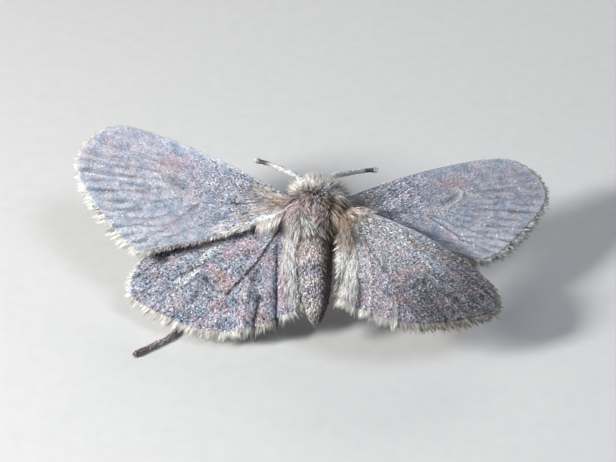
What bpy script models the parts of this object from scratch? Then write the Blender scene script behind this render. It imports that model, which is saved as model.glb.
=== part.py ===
"""A small grey moth at life size, resting on its six feet with its wings spread.

Each part of the body that has a name of its own is one solid: head, thorax, abdomen, eyes,
palps, antennae, four wings and six legs. The solids reach out to the tips of the hair and of
the wing fringes. Sizes in the tables are millimetres, and mm() turns them to metres.

Body axes: across is +X, to the moth's right. Forward and up are the moth's own, and turn with
the tilt of its body. Wing axes: span runs out along the wing, chord runs back across it.
"""
import math

import bmesh
import bpy
from mathutils import Matrix, Vector

# --- the whole animal ---------------------------------------------------------------------
THORAX_CENTRE = (0.1, 1.25, 6.3)        # above the origin, which is the middle of its outline
BODY_TILT = math.radians(22)            # head up
CLEARANCE = 0.12                        # gap that parts which grow together keep in the solids
WING_THICKNESS = 0.5

# --- body ---------------------------------------------------------------------------------
# centre (across, forward, up), reach to the front and rear, half width, height, depth,
# and fullness: 1 is an ellipsoid, less than 1 is blunter at the ends
THORAX = dict(centre=(0, -0.25, 0), front=2.5, rear=2.35, width=2.15, height=1.95, depth=1.9,
              fullness=0.8, sides=24, rings=16)
PARTING_DEPTH = 0.75                    # the hair at the rear of the thorax parts in a V
PARTING_WIDTH = 0.55
HEAD = dict(centre=(0, 2.6, -0.75), front=0.95, rear=0.95, width=1.08, height=0.95, depth=1.0,
            fullness=0.9, sides=20, rings=12)
EYE_CENTRE = (0.72, 2.78, -0.88)
EYE_RADIUS = 0.5

ABDOMEN_START = (0, -1.7, -0.2)
ABDOMEN_TIP = (0, -8.65, -0.4)
ABDOMEN_RADIUS = 1.25
ABDOMEN_FLATNESS = 0.9
ABDOMEN_SEGMENTS = 7
SEGMENT_GROOVE = 0.05                   # how far each ring steps in, as a share of the radius
ABDOMEN_RINGS = 28
ABDOMEN_SIDES = 18

# --- wings --------------------------------------------------------------------------------
# root: the front and rear end of the attachment; margin: from the end of the leading edge
# round the tip to the inner corner; bows: how far the two long edges stand proud of a line
FOREWING = dict(root=((-0.3, -0.3), (-0.4, 0.6)),
                margin=((12.6, -2.75), (14.5, -2.65), (15.95, -1.65), (16.6, -0.2), (16.35, 1.55),
                        (15.1, 3.15), (13.3, 4.7), (11.4, 6.0), (9.6, 6.75), (8.3, 6.5)),
                leading_bow=-0.25, inner_bow=(0, 0.5), camber=0.35, belly=0.0, pleat=0.0,
                along=10, across=20)
HINDWING = dict(root=((0.0, -0.8), (-0.5, 0.2)),
                margin=((10.0, -1.95), (11.5, -1.45), (12.6, -0.6), (13.1, 0.6), (12.3, 2.3),
                        (11.05, 3.95), (9.3, 5.6), (7.3, 6.6), (5.2, 7.05), (3.6, 7.05),
                        (2.5, 6.95), (1.6, 6.5)),
                leading_bow=-0.7, inner_bow=(0.35, 0), camber=0.0, belly=0.3, pleat=0.2,
                along=10, across=30)
PLEATS_FROM = 0.45                      # share of the fan, from the leading edge, left smooth
PLEAT_WIDTH = 0.15                      # one ridge and one valley, as a share of the fan

# root (half width, forward, up), sweep, droop and pitch in degrees, and how much of the fan
# is open: the right hind wing lies on top of its forewing with the last pleat tucked under
WING_POSES = {
    "forewing_left": dict(side=-1, plan=FOREWING, root=(1.95, 0.3, 1.04),
                          sweep=20, droop=8.5, pitch=25.5, open=1.0),
    "forewing_right": dict(side=1, plan=FOREWING, root=(1.7, 0.54, 0.06),
                           sweep=18.5, droop=10.5, pitch=11, open=1.0),
    "hindwing_left": dict(side=-1, plan=HINDWING, root=(1.58, -0.56, 0.13),
                          sweep=-22, droop=8.5, pitch=33.5, open=1.0),
    "hindwing_right": dict(side=1, plan=HINDWING, root=(2.1, -0.7, 0.95),
                           sweep=-35, droop=9, pitch=13.5, open=0.8),
}

# --- antennae and palps: routes in body axes, radius at each point ------------------------
ANTENNAE = {
    "antenna_left": ((-0.45, 2.5, -0.3, 0.26), (-1.3, 3.45, -0.45, 0.26), (-2.0, 4.15, -0.85, 0.26),
                     (-2.7, 4.7, -1.2, 0.27), (-3.4, 5.2, -1.45, 0.27),
                     (-3.9, 5.5, -1.65, 0.28), (-4.3, 5.75, -1.8, 0.25)),
    "antenna_right": ((0.45, 2.5, -0.3, 0.26), (1.15, 3.35, -0.5, 0.26), (1.8, 3.9, -0.95, 0.26),
                      (2.65, 4.4, -1.4, 0.27), (3.45, 4.75, -1.75, 0.27),
                      (4.05, 5.0, -2.0, 0.28), (4.55, 5.15, -2.2, 0.25)),
}
PALP = ((0.3, 3.1, -1.25, 0.3), (0.34, 3.6, -1.4, 0.3), (0.36, 4.0, -1.4, 0.26))

# --- legs: half width, distance forward of the thorax centre, height above the floor ------
FOOT_HEIGHT = 0.22                      # centre line of the foot, less than its radius
LEGS = {
    "foreleg": ((0.75, 1.2, 4.6), (2.3, 3.0, 4.3), (3.0, 4.5, 0.75), (3.3, 5.2, FOOT_HEIGHT),
                (3.9, 7.0, FOOT_HEIGHT)),
    "midleg": ((1.1, 0.1, 4.5), (4.3, 1.5, 4.4), (6.2, 2.4, 0.8), (6.7, 2.7, FOOT_HEIGHT),
               (9.1, 4.2, FOOT_HEIGHT)),
    "hindleg_left": ((1.0, -1.1, 4.4), (4.9, -1.4, 3.4), (8.5, -3.9, 0.75),
                     (9.1, -4.7, FOOT_HEIGHT), (10.2, -6.5, FOOT_HEIGHT),
                     (12.4, -8.2, FOOT_HEIGHT)),
    "hindleg_right": ((1.0, -1.1, 4.4), (4.5, -0.5, 4.5), (6.9, -2.6, 0.75),
                      (7.1, -3.1, FOOT_HEIGHT), (7.5, -5.4, FOOT_HEIGHT)),
}
THIGH_RADIUS = 0.4
KNEE_RADIUS = 0.27
SHIN_RADIUS = 0.31
FOOT_RADIUS = 0.28
KNEE_ROUNDING = 0.35

# --- colours: base colour, roughness ------------------------------------------------------
FINISHES = {
    "wing_scales": ((0.46, 0.46, 0.51), 0.6),
    "body_hair": ((0.50, 0.42, 0.36), 0.85),
    "head_hair": ((0.68, 0.60, 0.47), 0.85),
    "leg_scales": ((0.29, 0.23, 0.19), 0.7),
    "antenna_scales": ((0.60, 0.57, 0.53), 0.6),
    "eye_facets": ((0.02, 0.014, 0.01), 0.2),
}


def mm(*values):
    """Millimetres to a vector in metres."""
    return Vector(values) * 0.001


def body_point(across, forward, up):
    """A point given in the moth's own axes from the centre of its thorax."""
    centre = Vector(THORAX_CENTRE)
    tilt = Matrix.Rotation(BODY_TILT, 3, "X")
    return mm(*(centre + tilt @ Vector((across, forward, up))))


def floor_point(across, forward, height):
    """A point given over the floor, from below the centre of the thorax."""
    return mm(THORAX_CENTRE[0] + across, THORAX_CENTRE[1] + forward, height)


def spline(points, share):
    """A smooth curve through the points; share runs from 0 at the first to 1 at the last."""
    last = len(points) - 1
    place = min(max(share, 0.0), 1.0) * last
    i = min(int(place), last - 1)
    t = place - i
    here, following = Vector(points[i]), Vector(points[i + 1])
    before = Vector(points[i - 1]) if i > 0 else 2 * here - following
    after = Vector(points[i + 2]) if i + 2 <= last else 2 * following - here
    return 0.5 * (2 * here + (following - before) * t
                  + (2 * before - 5 * here + 4 * following - after) * t ** 2
                  + (3 * here - before - 3 * following + after) * t ** 3)


def finish(name):
    """The material of one finish, made once."""
    if name in bpy.data.materials:
        return bpy.data.materials[name]
    colour, roughness = FINISHES[name]
    material = bpy.data.materials.new(name)
    material.use_nodes = True
    shader = material.node_tree.nodes["Principled BSDF"]
    shader.inputs["Base Color"].default_value = (*colour, 1)
    shader.inputs["Roughness"].default_value = roughness
    shader.inputs["Metallic"].default_value = 0
    return material


def add_part(name, mesh, finish_name, collection):
    """One named solid, shaded smooth."""
    mesh.materials.append(finish(finish_name))
    mesh.shade_smooth()
    part = bpy.data.objects.new(name, mesh)
    collection.objects.link(part)
    return part


def make_cutter(part):
    part.hide_render = True
    part.display_type = "WIRE"
    return part


def cut(part, *cutters):
    for cutter in cutters:
        modifier = part.modifiers.new(f"less_{cutter.name}", "BOOLEAN")
        modifier.operation = "DIFFERENCE"
        modifier.object = cutter


def part_hair(across, forward, up):
    """Draws the middle of the thorax hair forward at the rear, where it parts over the back."""
    rear = min(max(-forward / THORAX["rear"], 0.0), 1.0)
    over_the_back = min(max(up / THORAX["height"] + 0.3, 0.0), 1.0)
    middle = math.exp(-(across / PARTING_WIDTH) ** 2)
    return PARTING_DEPTH * rear * over_the_back * middle


def body_mesh(name, form, grown=0.0):
    """An egg-shaped mesh from one table of body sizes, grown outward for a cutter."""
    bm = bmesh.new()
    bmesh.ops.create_uvsphere(bm, u_segments=form["sides"], v_segments=form["rings"], radius=1)
    for vertex in bm.verts:
        side, rise, ahead = vertex.co
        girth = max(math.hypot(side, rise), 1e-6)
        fuller = girth ** (form["fullness"] - 1)
        reach = form["front"] if ahead > 0 else form["rear"]
        lift = form["height"] if rise > 0 else form["depth"]
        across = side * fuller * (form["width"] + grown)
        forward = ahead * (reach + grown)
        up = rise * fuller * (lift + grown)
        if form is THORAX:
            forward += part_hair(across, forward, up)
        vertex.co = body_point(*(Vector(form["centre"]) + Vector((across, forward, up))))
    bmesh.ops.reverse_faces(bm, faces=bm.faces)     # laying the poles fore and aft mirrored it
    mesh = bpy.data.meshes.new(name)
    bm.to_mesh(mesh)
    bm.free()
    return mesh


def eye_mesh(name, side, grown=0.0):
    bm = bmesh.new()
    bmesh.ops.create_uvsphere(bm, u_segments=14, v_segments=9, radius=(EYE_RADIUS + grown) * 0.001)
    across, forward, up = EYE_CENTRE
    bmesh.ops.translate(bm, verts=bm.verts, vec=body_point(side * across, forward, up))
    mesh = bpy.data.meshes.new(name)
    bm.to_mesh(mesh)
    bm.free()
    return mesh


def abdomen_radius(share):
    """Radius along the abdomen: nearly even, then closing to the tip, with a step at each ring."""
    outline = (1 - share ** 3.2) ** 0.55
    step = max(0.0, math.cos(2 * math.pi * ABDOMEN_SEGMENTS * share)) ** 4
    return ABDOMEN_RADIUS * outline * (1 - SEGMENT_GROOVE * step)


def make_abdomen(name, collection, grown=0.0):
    """A profile turned about the line of the abdomen, a little flattened, grown for a cutter."""
    start, tip = body_point(*ABDOMEN_START), body_point(*ABDOMEN_TIP)
    length = (tip - start).length
    profile = [(0.0, length)]
    for i in range(ABDOMEN_RINGS):
        share = i / ABDOMEN_RINGS
        profile.append(((abdomen_radius(share) + grown) * 0.001, length * (1 - share)))
    profile.append((0.0, -grown * 0.001))
    bm = bmesh.new()
    points = [bm.verts.new((x, 0, z)) for x, z in profile]
    for first, second in zip(points, points[1:]):
        bm.edges.new((first, second))
    mesh = bpy.data.meshes.new(name)
    bm.to_mesh(mesh)
    bm.free()
    abdomen = add_part(name, mesh, "body_hair", collection)
    turn = abdomen.modifiers.new("turn", "SCREW")
    turn.steps = turn.render_steps = ABDOMEN_SIDES
    turn.use_merge_vertices = True
    turn.merge_threshold = 1e-6
    abdomen.location = tip
    abdomen.rotation_euler = (start - tip).to_track_quat("Z", "Y").to_euler()
    abdomen.scale = (1, ABDOMEN_FLATNESS, 1)
    return abdomen


def wing_plan(plan, out, fan):
    """Span and chord at a share of the way out from the root and round the fan."""
    front, rear = Vector(plan["root"][0]), Vector(plan["root"][1])
    root = front.lerp(rear, fan)
    place = root.lerp(spline(plan["margin"], fan), out)
    leading = Vector((0, plan["leading_bow"])) * (1 - fan) ** 3
    inner = Vector(plan["inner_bow"]) * fan ** 3
    return place + (leading + inner) * math.sin(math.pi * out)


def wing_rise(plan, out, fan):
    """Height over the wing's plane: arched in front, full in the middle, pleated at the rear."""
    arch = plan["camber"] * math.sin(math.pi * out) * (1 - fan) ** 2
    belly = plan["belly"] * math.sin(math.pi * out) * math.sin(math.pi * fan)
    into_pleats = min(max((fan - PLEATS_FROM) / PLEAT_WIDTH, 0.0), 1.0)
    wave = math.cos(2 * math.pi * (fan - PLEATS_FROM) / PLEAT_WIDTH)
    return arch + belly + plan["pleat"] * into_pleats * out ** 2 * wave


def wing_axes(pose):
    """Span, chord and upward directions of a wing in world axes."""
    side = pose["side"]
    sweep, droop, pitch = (math.radians(pose[key]) for key in ("sweep", "droop", "pitch"))
    turn = Matrix.Rotation(pitch, 3, "X") @ Matrix.Rotation(side * droop, 3, "Y")
    span = turn @ Vector((side * math.cos(sweep), math.sin(sweep), 0))
    chord = turn @ Vector((side * math.sin(sweep), -math.cos(sweep), 0))
    return span, chord, turn @ Vector((0, 0, 1))


def make_wing(name, pose, collection):
    """A grid bent to the wing's plan and pose, then given its thickness."""
    plan, side = pose["plan"], pose["side"]
    half_width, forward, up = pose["root"]
    root = body_point(side * half_width, forward, up)
    span, chord, upward = wing_axes(pose)
    bm = bmesh.new()
    bmesh.ops.create_grid(bm, x_segments=plan["along"], y_segments=plan["across"], size=0.5)
    for vertex in bm.verts:
        out, fan = vertex.co.x + 0.5, (vertex.co.y + 0.5) * pose["open"]
        along, back = wing_plan(plan, out, fan)
        rise = wing_rise(plan, out, fan)
        vertex.co = root + (span * along + chord * back + upward * rise) * 0.001
    mesh = bpy.data.meshes.new(name)
    bm.to_mesh(mesh)
    bm.free()
    wing = add_part(name, mesh, "wing_scales", collection)
    thick = wing.modifiers.new("thickness", "SOLIDIFY")
    thick.thickness = WING_THICKNESS * 0.001
    thick.offset = 0
    return wing


def make_tube(name, route, finish_name, collection):
    """A round tube along a route of (point, radius), with closed ends, as a mesh."""
    curve = bpy.data.curves.new(name, "CURVE")
    curve.dimensions = "3D"
    curve.bevel_depth = 0.001
    curve.bevel_resolution = 2
    curve.use_fill_caps = True
    line = curve.splines.new("POLY")
    line.points.add(len(route) - 1)
    for point, (place, radius) in zip(line.points, route):
        point.co = (*place, 1)
        point.radius = radius
    holder = bpy.data.objects.new(name + "_curve", curve)
    collection.objects.link(holder)
    bpy.context.view_layer.update()
    graph = bpy.context.evaluated_depsgraph_get()
    mesh = bpy.data.meshes.new_from_object(holder.evaluated_get(graph))
    bpy.data.objects.remove(holder)
    mesh.name = name
    bm = bmesh.new()
    bm.from_mesh(mesh)
    bmesh.ops.remove_doubles(bm, verts=bm.verts, dist=1e-6)
    bmesh.ops.recalc_face_normals(bm, faces=bm.faces)
    bm.to_mesh(mesh)
    bm.free()
    mesh.materials.clear()
    return add_part(name, mesh, finish_name, collection)


def round_corners(places):
    """Puts a short bend of three points at each inner corner of a route."""
    reach = KNEE_ROUNDING * 0.001
    out = [places[0]]
    for before, corner, after in zip(places, places[1:], places[2:]):
        come = corner + (before - corner).normalized() * reach
        leave = corner + (after - corner).normalized() * reach
        out += [come, (come + leave + 2 * corner) / 4, leave]
    return out + [places[-1]]


def make_leg(name, joints, side, collection):
    """Hip, knee, heel and toes on one tube, thick at the thigh and thin at the knee."""
    places = [floor_point(side * across, forward, height) for across, forward, height in joints]
    hip, knee, heel = places[:3]
    route = []
    for place in round_corners(places):
        if place == hip:
            radius = THIGH_RADIUS
        elif (place - knee).length < 1.01 * KNEE_ROUNDING * 0.001:
            radius = KNEE_RADIUS
        else:
            radius = FOOT_RADIUS
        route.append((place, radius))
    route.insert(1, (hip.lerp(knee, 0.4), THIGH_RADIUS))
    route.insert(5, (knee.lerp(heel, 0.6), SHIN_RADIUS))
    return make_tube(name, route, "leg_scales", collection)


def make_floor_cutter(collection):
    """A slab under the floor that cuts the feet flat."""
    bm = bmesh.new()
    bmesh.ops.create_cube(bm, size=1)
    bmesh.ops.scale(bm, verts=bm.verts, vec=mm(60, 60, 2))
    bmesh.ops.translate(bm, verts=bm.verts, vec=mm(0, 0, -1))
    mesh = bpy.data.meshes.new("below_floor")
    bm.to_mesh(mesh)
    bm.free()
    return make_cutter(add_part("below_floor", mesh, "leg_scales", collection))


def new_collection(name):
    collection = bpy.data.collections.new(name)
    bpy.context.scene.collection.children.link(collection)
    return collection


def main():
    for stale in list(bpy.data.objects):
        bpy.data.objects.remove(stale)
    moth = new_collection("moth")
    cutters = new_collection("cutters")

    add_part("thorax", body_mesh("thorax", THORAX), "body_hair", moth)
    around_thorax = make_cutter(add_part(
        "around_thorax", body_mesh("around_thorax", THORAX, CLEARANCE), "body_hair", cutters))
    around_head = make_cutter(add_part(
        "around_head", body_mesh("around_head", HEAD, CLEARANCE), "head_hair", cutters))
    below_floor = make_floor_cutter(cutters)

    head = add_part("head", body_mesh("head", HEAD), "head_hair", moth)
    cut(head, around_thorax)
    for word, side in (("left", -1), ("right", 1)):
        add_part(f"eye_{word}", eye_mesh(f"eye_{word}", side), "eye_facets", moth)
        socket = make_cutter(add_part(
            f"socket_{word}", eye_mesh(f"socket_{word}", side, CLEARANCE), "eye_facets", cutters))
        cut(head, socket)
        palp = [(body_point(side * across, forward, up), radius)
                for across, forward, up, radius in PALP]
        cut(make_tube(f"palp_{word}", palp, "head_hair", moth), around_head, socket)

    for name, route in ANTENNAE.items():
        places = [(body_point(*point), radius) for *point, radius in route]
        cut(make_tube(name, places, "antenna_scales", moth), around_head)

    cut(make_abdomen("abdomen", moth), around_thorax)
    around_abdomen = make_cutter(make_abdomen("around_abdomen", cutters, CLEARANCE))

    for name, pose in WING_POSES.items():
        wing = make_wing(name, pose, moth)
        cut(wing, around_thorax)
        if pose["plan"] is HINDWING:
            cut(wing, around_abdomen)

    for pair in ("foreleg", "midleg", "hindleg"):
        for word, side in (("left", -1), ("right", 1)):
            name = f"{pair}_{word}"
            joints = LEGS.get(name) or LEGS[pair]
            cut(make_leg(name, joints, side, moth), around_thorax, below_floor)


main()
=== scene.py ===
"""A grey moth with its wings spread, life size: its skin, and the scales and hair that grow on it."""

import math

import bpy
import numpy as np
from mathutils import Matrix, Vector
from mathutils.kdtree import KDTree


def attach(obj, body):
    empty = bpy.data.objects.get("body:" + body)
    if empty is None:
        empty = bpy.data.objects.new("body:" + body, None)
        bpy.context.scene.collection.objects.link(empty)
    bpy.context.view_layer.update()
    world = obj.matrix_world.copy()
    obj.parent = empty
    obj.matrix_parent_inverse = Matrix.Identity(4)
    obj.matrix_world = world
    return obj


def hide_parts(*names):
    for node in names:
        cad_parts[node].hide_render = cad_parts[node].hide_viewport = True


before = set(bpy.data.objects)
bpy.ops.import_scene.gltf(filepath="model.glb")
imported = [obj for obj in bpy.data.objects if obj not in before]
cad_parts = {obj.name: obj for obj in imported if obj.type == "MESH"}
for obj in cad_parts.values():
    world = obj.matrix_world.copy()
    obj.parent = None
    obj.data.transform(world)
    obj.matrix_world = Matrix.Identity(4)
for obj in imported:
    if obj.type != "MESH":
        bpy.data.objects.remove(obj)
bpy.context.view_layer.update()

# ------------------------------------------------------------------ sizes, in millimetres and degrees

THORAX_CENTRE = np.array((0.1, 1.25, 6.3))
BODY_TILT = 22

# The skin's stations from the face to the tail: forward, height, half width, half height.
SKIN_STATIONS = (
    (3.42, -0.85, 0.1, 0.1),
    (3.3, -0.85, 0.46, 0.45),
    (3.0, -0.86, 0.68, 0.64),
    (2.6, -0.86, 0.78, 0.7),
    (2.2, -0.78, 0.76, 0.7),
    (1.8, -0.5, 0.98, 0.92),
    (1.3, -0.2, 1.28, 1.22),
    (0.6, 0.0, 1.58, 1.4),
    (-0.2, 0.05, 1.7, 1.48),
    (-0.9, 0.0, 1.62, 1.4),
    (-1.5, -0.1, 1.38, 1.2),
    (-2.1, -0.18, 1.12, 1.02),
)
ABDOMEN_START = np.array((0, -1.7, -0.2))
ABDOMEN_TIP = np.array((0, -8.65, -0.4))
ABDOMEN_RADIUS = 1.25
ABDOMEN_FLATNESS = 0.9
ABDOMEN_SEGMENTS = 7
ABDOMEN_COAT = 0.16
ABDOMEN_RINGS = (-3.8, -5.8, -7.6)
TAIL_SHARE = 0.93
# Shares of the way to the tail: the skin turns from its stations into the abdomen between these two.
REAR_START, FRONT_END = 0.5, 0.55
SEGMENT_GROOVE = 0.035

EYE_CENTRE = (0.72, 2.78, -0.88)
EYE_RADIUS = 0.49
PALP = np.array(((0.3, 3.0, -1.2), (0.34, 3.55, -1.38), (0.36, 3.95, -1.4)))
PALP_RADIUS = 0.15

FOREWING = dict(
    root=((-0.3, -0.3), (-0.4, 0.6)),
    margin=(
        (12.6, -2.75), (14.5, -2.65), (15.95, -1.65), (16.6, -0.2), (16.35, 1.55),
        (15.1, 3.15), (13.3, 4.7), (11.4, 6.0), (9.6, 6.75), (8.3, 6.5),
    ),
    leading_bow=-0.25,
    inner_bow=(0, 0.5),
    camber=0.35,
    belly=0.0,
)
HINDWING = dict(
    root=((0.0, -0.8), (-0.5, 0.2)),
    margin=(
        (10.0, -1.95), (11.5, -1.45), (12.6, -0.6), (13.1, 0.6), (12.3, 2.3), (11.05, 3.95),
        (9.3, 5.6), (7.3, 6.6), (5.2, 7.05), (3.6, 7.05), (2.5, 6.95), (1.6, 6.5),
    ),
    leading_bow=-0.7,
    inner_bow=(0.35, 0),
    camber=0.0,
    belly=0.3,
)
# Each wing's plan, side, place on the body, sweep, droop and pitch, and how far it is fanned out.
WINGS = {
    name: dict(plan=plan, side=side, root=root, sweep=sweep, droop=droop, pitch=pitch, open=opened)
    for name, plan, side, root, sweep, droop, pitch, opened in (
        ("forewing_left", FOREWING, -1, (1.95, 0.3, 1.04), 20, 8.5, 25.5, 1.0),
        ("forewing_right", FOREWING, 1, (1.7, 0.54, 0.06), 18.5, 10.5, 11, 1.0),
        ("hindwing_left", HINDWING, -1, (1.58, -0.56, 0.13), -22, 8.5, 33.5, 1.0),
        ("hindwing_right", HINDWING, 1, (2.1, -0.7, 0.95), -35, 9, 13.5, 0.8),
    )
}
MEMBRANE_THICKNESS = 0.05
# The membrane's squares out and round it, and where it starts and ends round the fan.
MEMBRANE_SQUARES = (64, 116)
FAN_ENDS = (0.004, 0.97)

# The hind wing's pleats on its plan, in millimetres out and back: points, half width, depth below the wing.
HIND_PLEATS = (
    (((3.9, 4.1), (4.3, 4.6), (5.2, 5.9), (5.6, 6.8)), 0.2, 0.26),
    (((1.4, 0.8), (2.4, 3.2), (3.2, 5.1), (3.8, 6.4), (4.0, 7.2)), 0.17, 0.32),
    (((0.9, 1.2), (1.3, 3.4), (1.9, 5.6), (2.2, 7.2)), 0.2, 0.12),
    (((4.0, 2.2), (4.9, 3.6), (5.8, 5.1), (6.4, 6.6)), 0.42, -0.12),
    (((2.4, 2.2), (3.5, 4.2), (4.4, 6.0), (4.7, 7.0)), 0.34, -0.12),
    (((1.1, 1.5), (2.0, 3.5), (2.8, 5.3), (3.2, 7.0)), 0.34, -0.1),
    (((5.5, 2.6), (6.8, 3.6), (7.9, 5.0), (8.4, 6.4)), 0.4, -0.08),
)
STREAK_COUNT = 20
STREAK_HEIGHT = 0.03

FEELERS = {
    "antenna_left": (
        (-0.45, 2.5, -0.3), (-1.3, 3.45, -0.45), (-2.0, 4.15, -0.85), (-2.7, 4.7, -1.2),
        (-3.4, 5.2, -1.45), (-3.9, 5.5, -1.65), (-4.3, 5.75, -1.8),
    ),
    "antenna_right": (
        (0.45, 2.5, -0.3), (1.15, 3.35, -0.5), (1.8, 3.9, -0.95), (2.65, 4.4, -1.4),
        (3.45, 4.75, -1.75), (4.05, 5.0, -2.0), (4.55, 5.15, -2.2),
    ),
}
FEELER_RADIUS = 0.165
FEELER_RINGS = 44

# A leg's joints: out from the body, forward of the thorax centre, and height above the floor.
FORELEG = ((0.75, 1.2, 4.6), (2.3, 3.0, 4.3), (3.0, 4.5, 0.75), (3.3, 5.2, 0.2), (3.9, 7.0, 0.2))
MIDLEG = ((1.1, 0.1, 4.5), (4.3, 1.5, 4.4), (6.2, 2.4, 0.8), (6.7, 2.7, 0.2), (9.1, 4.2, 0.2))
HINDLEG = ((1.0, -1.1, 4.4), (4.5, -0.5, 4.5), (6.9, -2.6, 0.75), (7.1, -3.1, 0.2), (7.5, -5.4, 0.2))
STRETCHED_HINDLEG = (
    (1.0, -1.1, 4.4), (4.9, -1.4, 3.4), (8.5, -3.9, 0.75),
    (9.1, -4.7, 0.2), (10.2, -6.5, 0.2), (12.4, -8.2, 0.2),
)
LEGS = {
    "foreleg_left": (-1, FORELEG),
    "foreleg_right": (1, FORELEG),
    "midleg_left": (-1, MIDLEG),
    "midleg_right": (1, MIDLEG),
    "hindleg_left": (-1, STRETCHED_HINDLEG),
    "hindleg_right": (1, HINDLEG),
}
THIGH_RADIUS = 0.26
SHIN_RADIUS = 0.22
FOOT_RADIUS = 0.2

dice = np.random.default_rng(7)

# ------------------------------------------------------------------ small geometry helpers


def unit(vectors):
    return vectors / np.maximum(np.linalg.norm(vectors, axis=-1, keepdims=True), 1e-12)


def about(axis, degrees):
    return np.array(Matrix.Rotation(math.radians(degrees), 3, axis))


BODY_TURN = about("X", BODY_TILT)


def body_point(points):
    """From the body's own axes (across, forward, up) to millimetres over the floor."""
    return THORAX_CENTRE + np.asarray(points, float) @ BODY_TURN.T


def in_body(points):
    return (points - THORAX_CENTRE) @ BODY_TURN


def spline(points, share):
    """The smooth line through the points, at shares from 0 to 1 of the way along."""
    points = np.asarray(points, float)
    padded = np.vstack((2 * points[0] - points[1], points, 2 * points[-1] - points[-2]))
    place = np.clip(share, 0, 1) * (len(points) - 1)
    first = np.minimum(place.astype(int), len(points) - 2)
    t = (place - first)[..., None]
    a, b, c, d = (padded[first + k] for k in range(4))
    return 0.5 * (2 * b + (c - a) * t + (2 * a - 5 * b + 4 * c - d) * t**2 + (3 * b - a - 3 * c + d) * t**3)


def walked(line):
    """How far along the line each of its points is."""
    return np.concatenate(((0,), np.cumsum(np.linalg.norm(np.diff(line, axis=0), axis=1))))


def read_line(where, places, rows):
    """Rows of numbers that are known at places along a line, read at other places on it."""
    return np.stack([np.interp(where, places, column) for column in rows.T], axis=1)


def ramp(value, low, high):
    """0 below low, 1 above high, smooth between; low may be the larger of the two."""
    share = np.clip((value - low) / (high - low), 0, 1)
    return share * share * (3 - 2 * share)


def bump(value, middle, width):
    return np.exp(-(((value - middle) / width) ** 2))


def near_line(points, line, width):
    """How close points on the wing's plan are to a line drawn on it: 1 on it, 0 well away."""
    line = np.asarray(line, float)
    nearest = np.full(points.shape[:-1], 1e9)
    for start, end in zip(line[:-1], line[1:]):
        way = end - start
        share = np.clip(((points - start) @ way) / (way @ way), 0, 1)
        nearest = np.minimum(nearest, np.linalg.norm(points - start - share[..., None] * way, axis=-1))
    return np.exp(-((nearest / width) ** 2))


def soft_noise(points, scale, seed):
    """Smooth random patches of about the given size, from -1 to 1."""
    turns = np.random.default_rng(seed)
    total = np.zeros(points.shape[:-1])
    for _ in range(7):
        way = turns.normal(size=points.shape[-1])
        total += np.sin(points @ way / scale * 2.2 + turns.random() * 6.28)
    return total / 3.5


def slopes(surface, u, v, step=2e-3):
    return surface(u + step, v) - surface(u - step, v), surface(u, v + step) - surface(u, v - step)


def lie_of(surface, u, v):
    """Place, normal, and the directions of growing u and growing v on a surface."""
    along, across = (unit(slope) for slope in slopes(surface, u, v))
    return surface(u, v), unit(np.cross(along, across)), along, across


# ------------------------------------------------------------------ making meshes

# Per mesh: the unwrap; a hair's tone and the share along it; pale and pink markings; dark and ochre markings.
MAPS = ("OFBake", "Strand", "Marks", "MoreMarks")
# The side of a hair's own patch on the unwrap.
PATCH = 0.003
HAIR_TAPER = 1.7
ROOT_SUNK = 0.04
SCALE_YAW = 0.2
SCALE_DOME = 0.14


def mapped(points, faces, unwrap, marks, strand=0.5):
    """A mesh as points in millimetres, triangles, and pairs of numbers per point or corner on each map."""
    strand = np.broadcast_to(strand, (len(points), 2))
    maps = dict(zip(MAPS, (unwrap, strand, marks[:, :2], marks[:, 2:])))
    return {"points": points, "faces": faces, "smooth": True, **maps}


def make_piece(name, coat, material, stands_for=()):
    points, faces = coat["points"], coat["faces"].astype(np.int32)
    mesh = bpy.data.meshes.new(name)
    mesh.vertices.add(len(points))
    mesh.vertices.foreach_set("co", (points * 0.001).astype(np.float32).ravel())
    mesh.loops.add(faces.size)
    mesh.loops.foreach_set("vertex_index", faces.ravel())
    mesh.polygons.add(len(faces))
    mesh.polygons.foreach_set("loop_start", np.arange(0, faces.size, 3, dtype=np.int32))
    mesh.update(calc_edges=True)
    for map_name in MAPS:
        values = coat[map_name]
        if len(values) == len(points):
            values = values[faces.ravel()]
        mesh.uv_layers.new(name=map_name).data.foreach_set("uv", values.astype(np.float32).ravel())
    mesh.uv_layers.active = mesh.uv_layers["OFBake"]
    mesh.polygons.foreach_set("use_smooth", np.full(len(faces), coat["smooth"]))
    mesh.materials.append(material)
    piece = bpy.data.objects.new(name, mesh)
    bpy.context.scene.collection.objects.link(piece)
    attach(piece, "root")
    if stands_for:
        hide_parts(*stands_for)
    return piece


def joined(*coats):
    """Several meshes as one."""
    starts = np.cumsum([0] + [len(coat["points"]) for coat in coats[:-1]])
    whole = {key: np.concatenate([coat[key] for coat in coats]) for key in ("points", *MAPS)}
    faces = np.concatenate([coat["faces"] + start for coat, start in zip(coats, starts)])
    return {**whole, "faces": faces, "smooth": coats[0]["smooth"]}


def rooted(at, flow, normal, unwrap, marks):
    """Where a coat grows: its places, the way it lies, surface normals, places on the unwrap, markings."""
    flow = unit(flow - normal * np.sum(flow * normal, axis=-1, keepdims=True))
    return dict(at=at, flow=flow, normal=normal, unwrap=unwrap, marks=marks)


def chosen(roots, keep):
    return {key: value[keep] for key, value in roots.items()}


def locks(at, per_lock):
    """Gathers hairs into locks: the middle hair of each one's lock, and a number of the lock's own."""
    count = max(1, len(at) // per_lock)
    middles = dice.choice(len(at), count, replace=False)
    tree = KDTree(count)
    for k, middle in enumerate(middles):
        tree.insert(at[middle], k)
    tree.balance()
    lock = np.array([tree.find(place)[1] for place in at])
    return middles[lock], dice.random(count)[lock]


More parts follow.
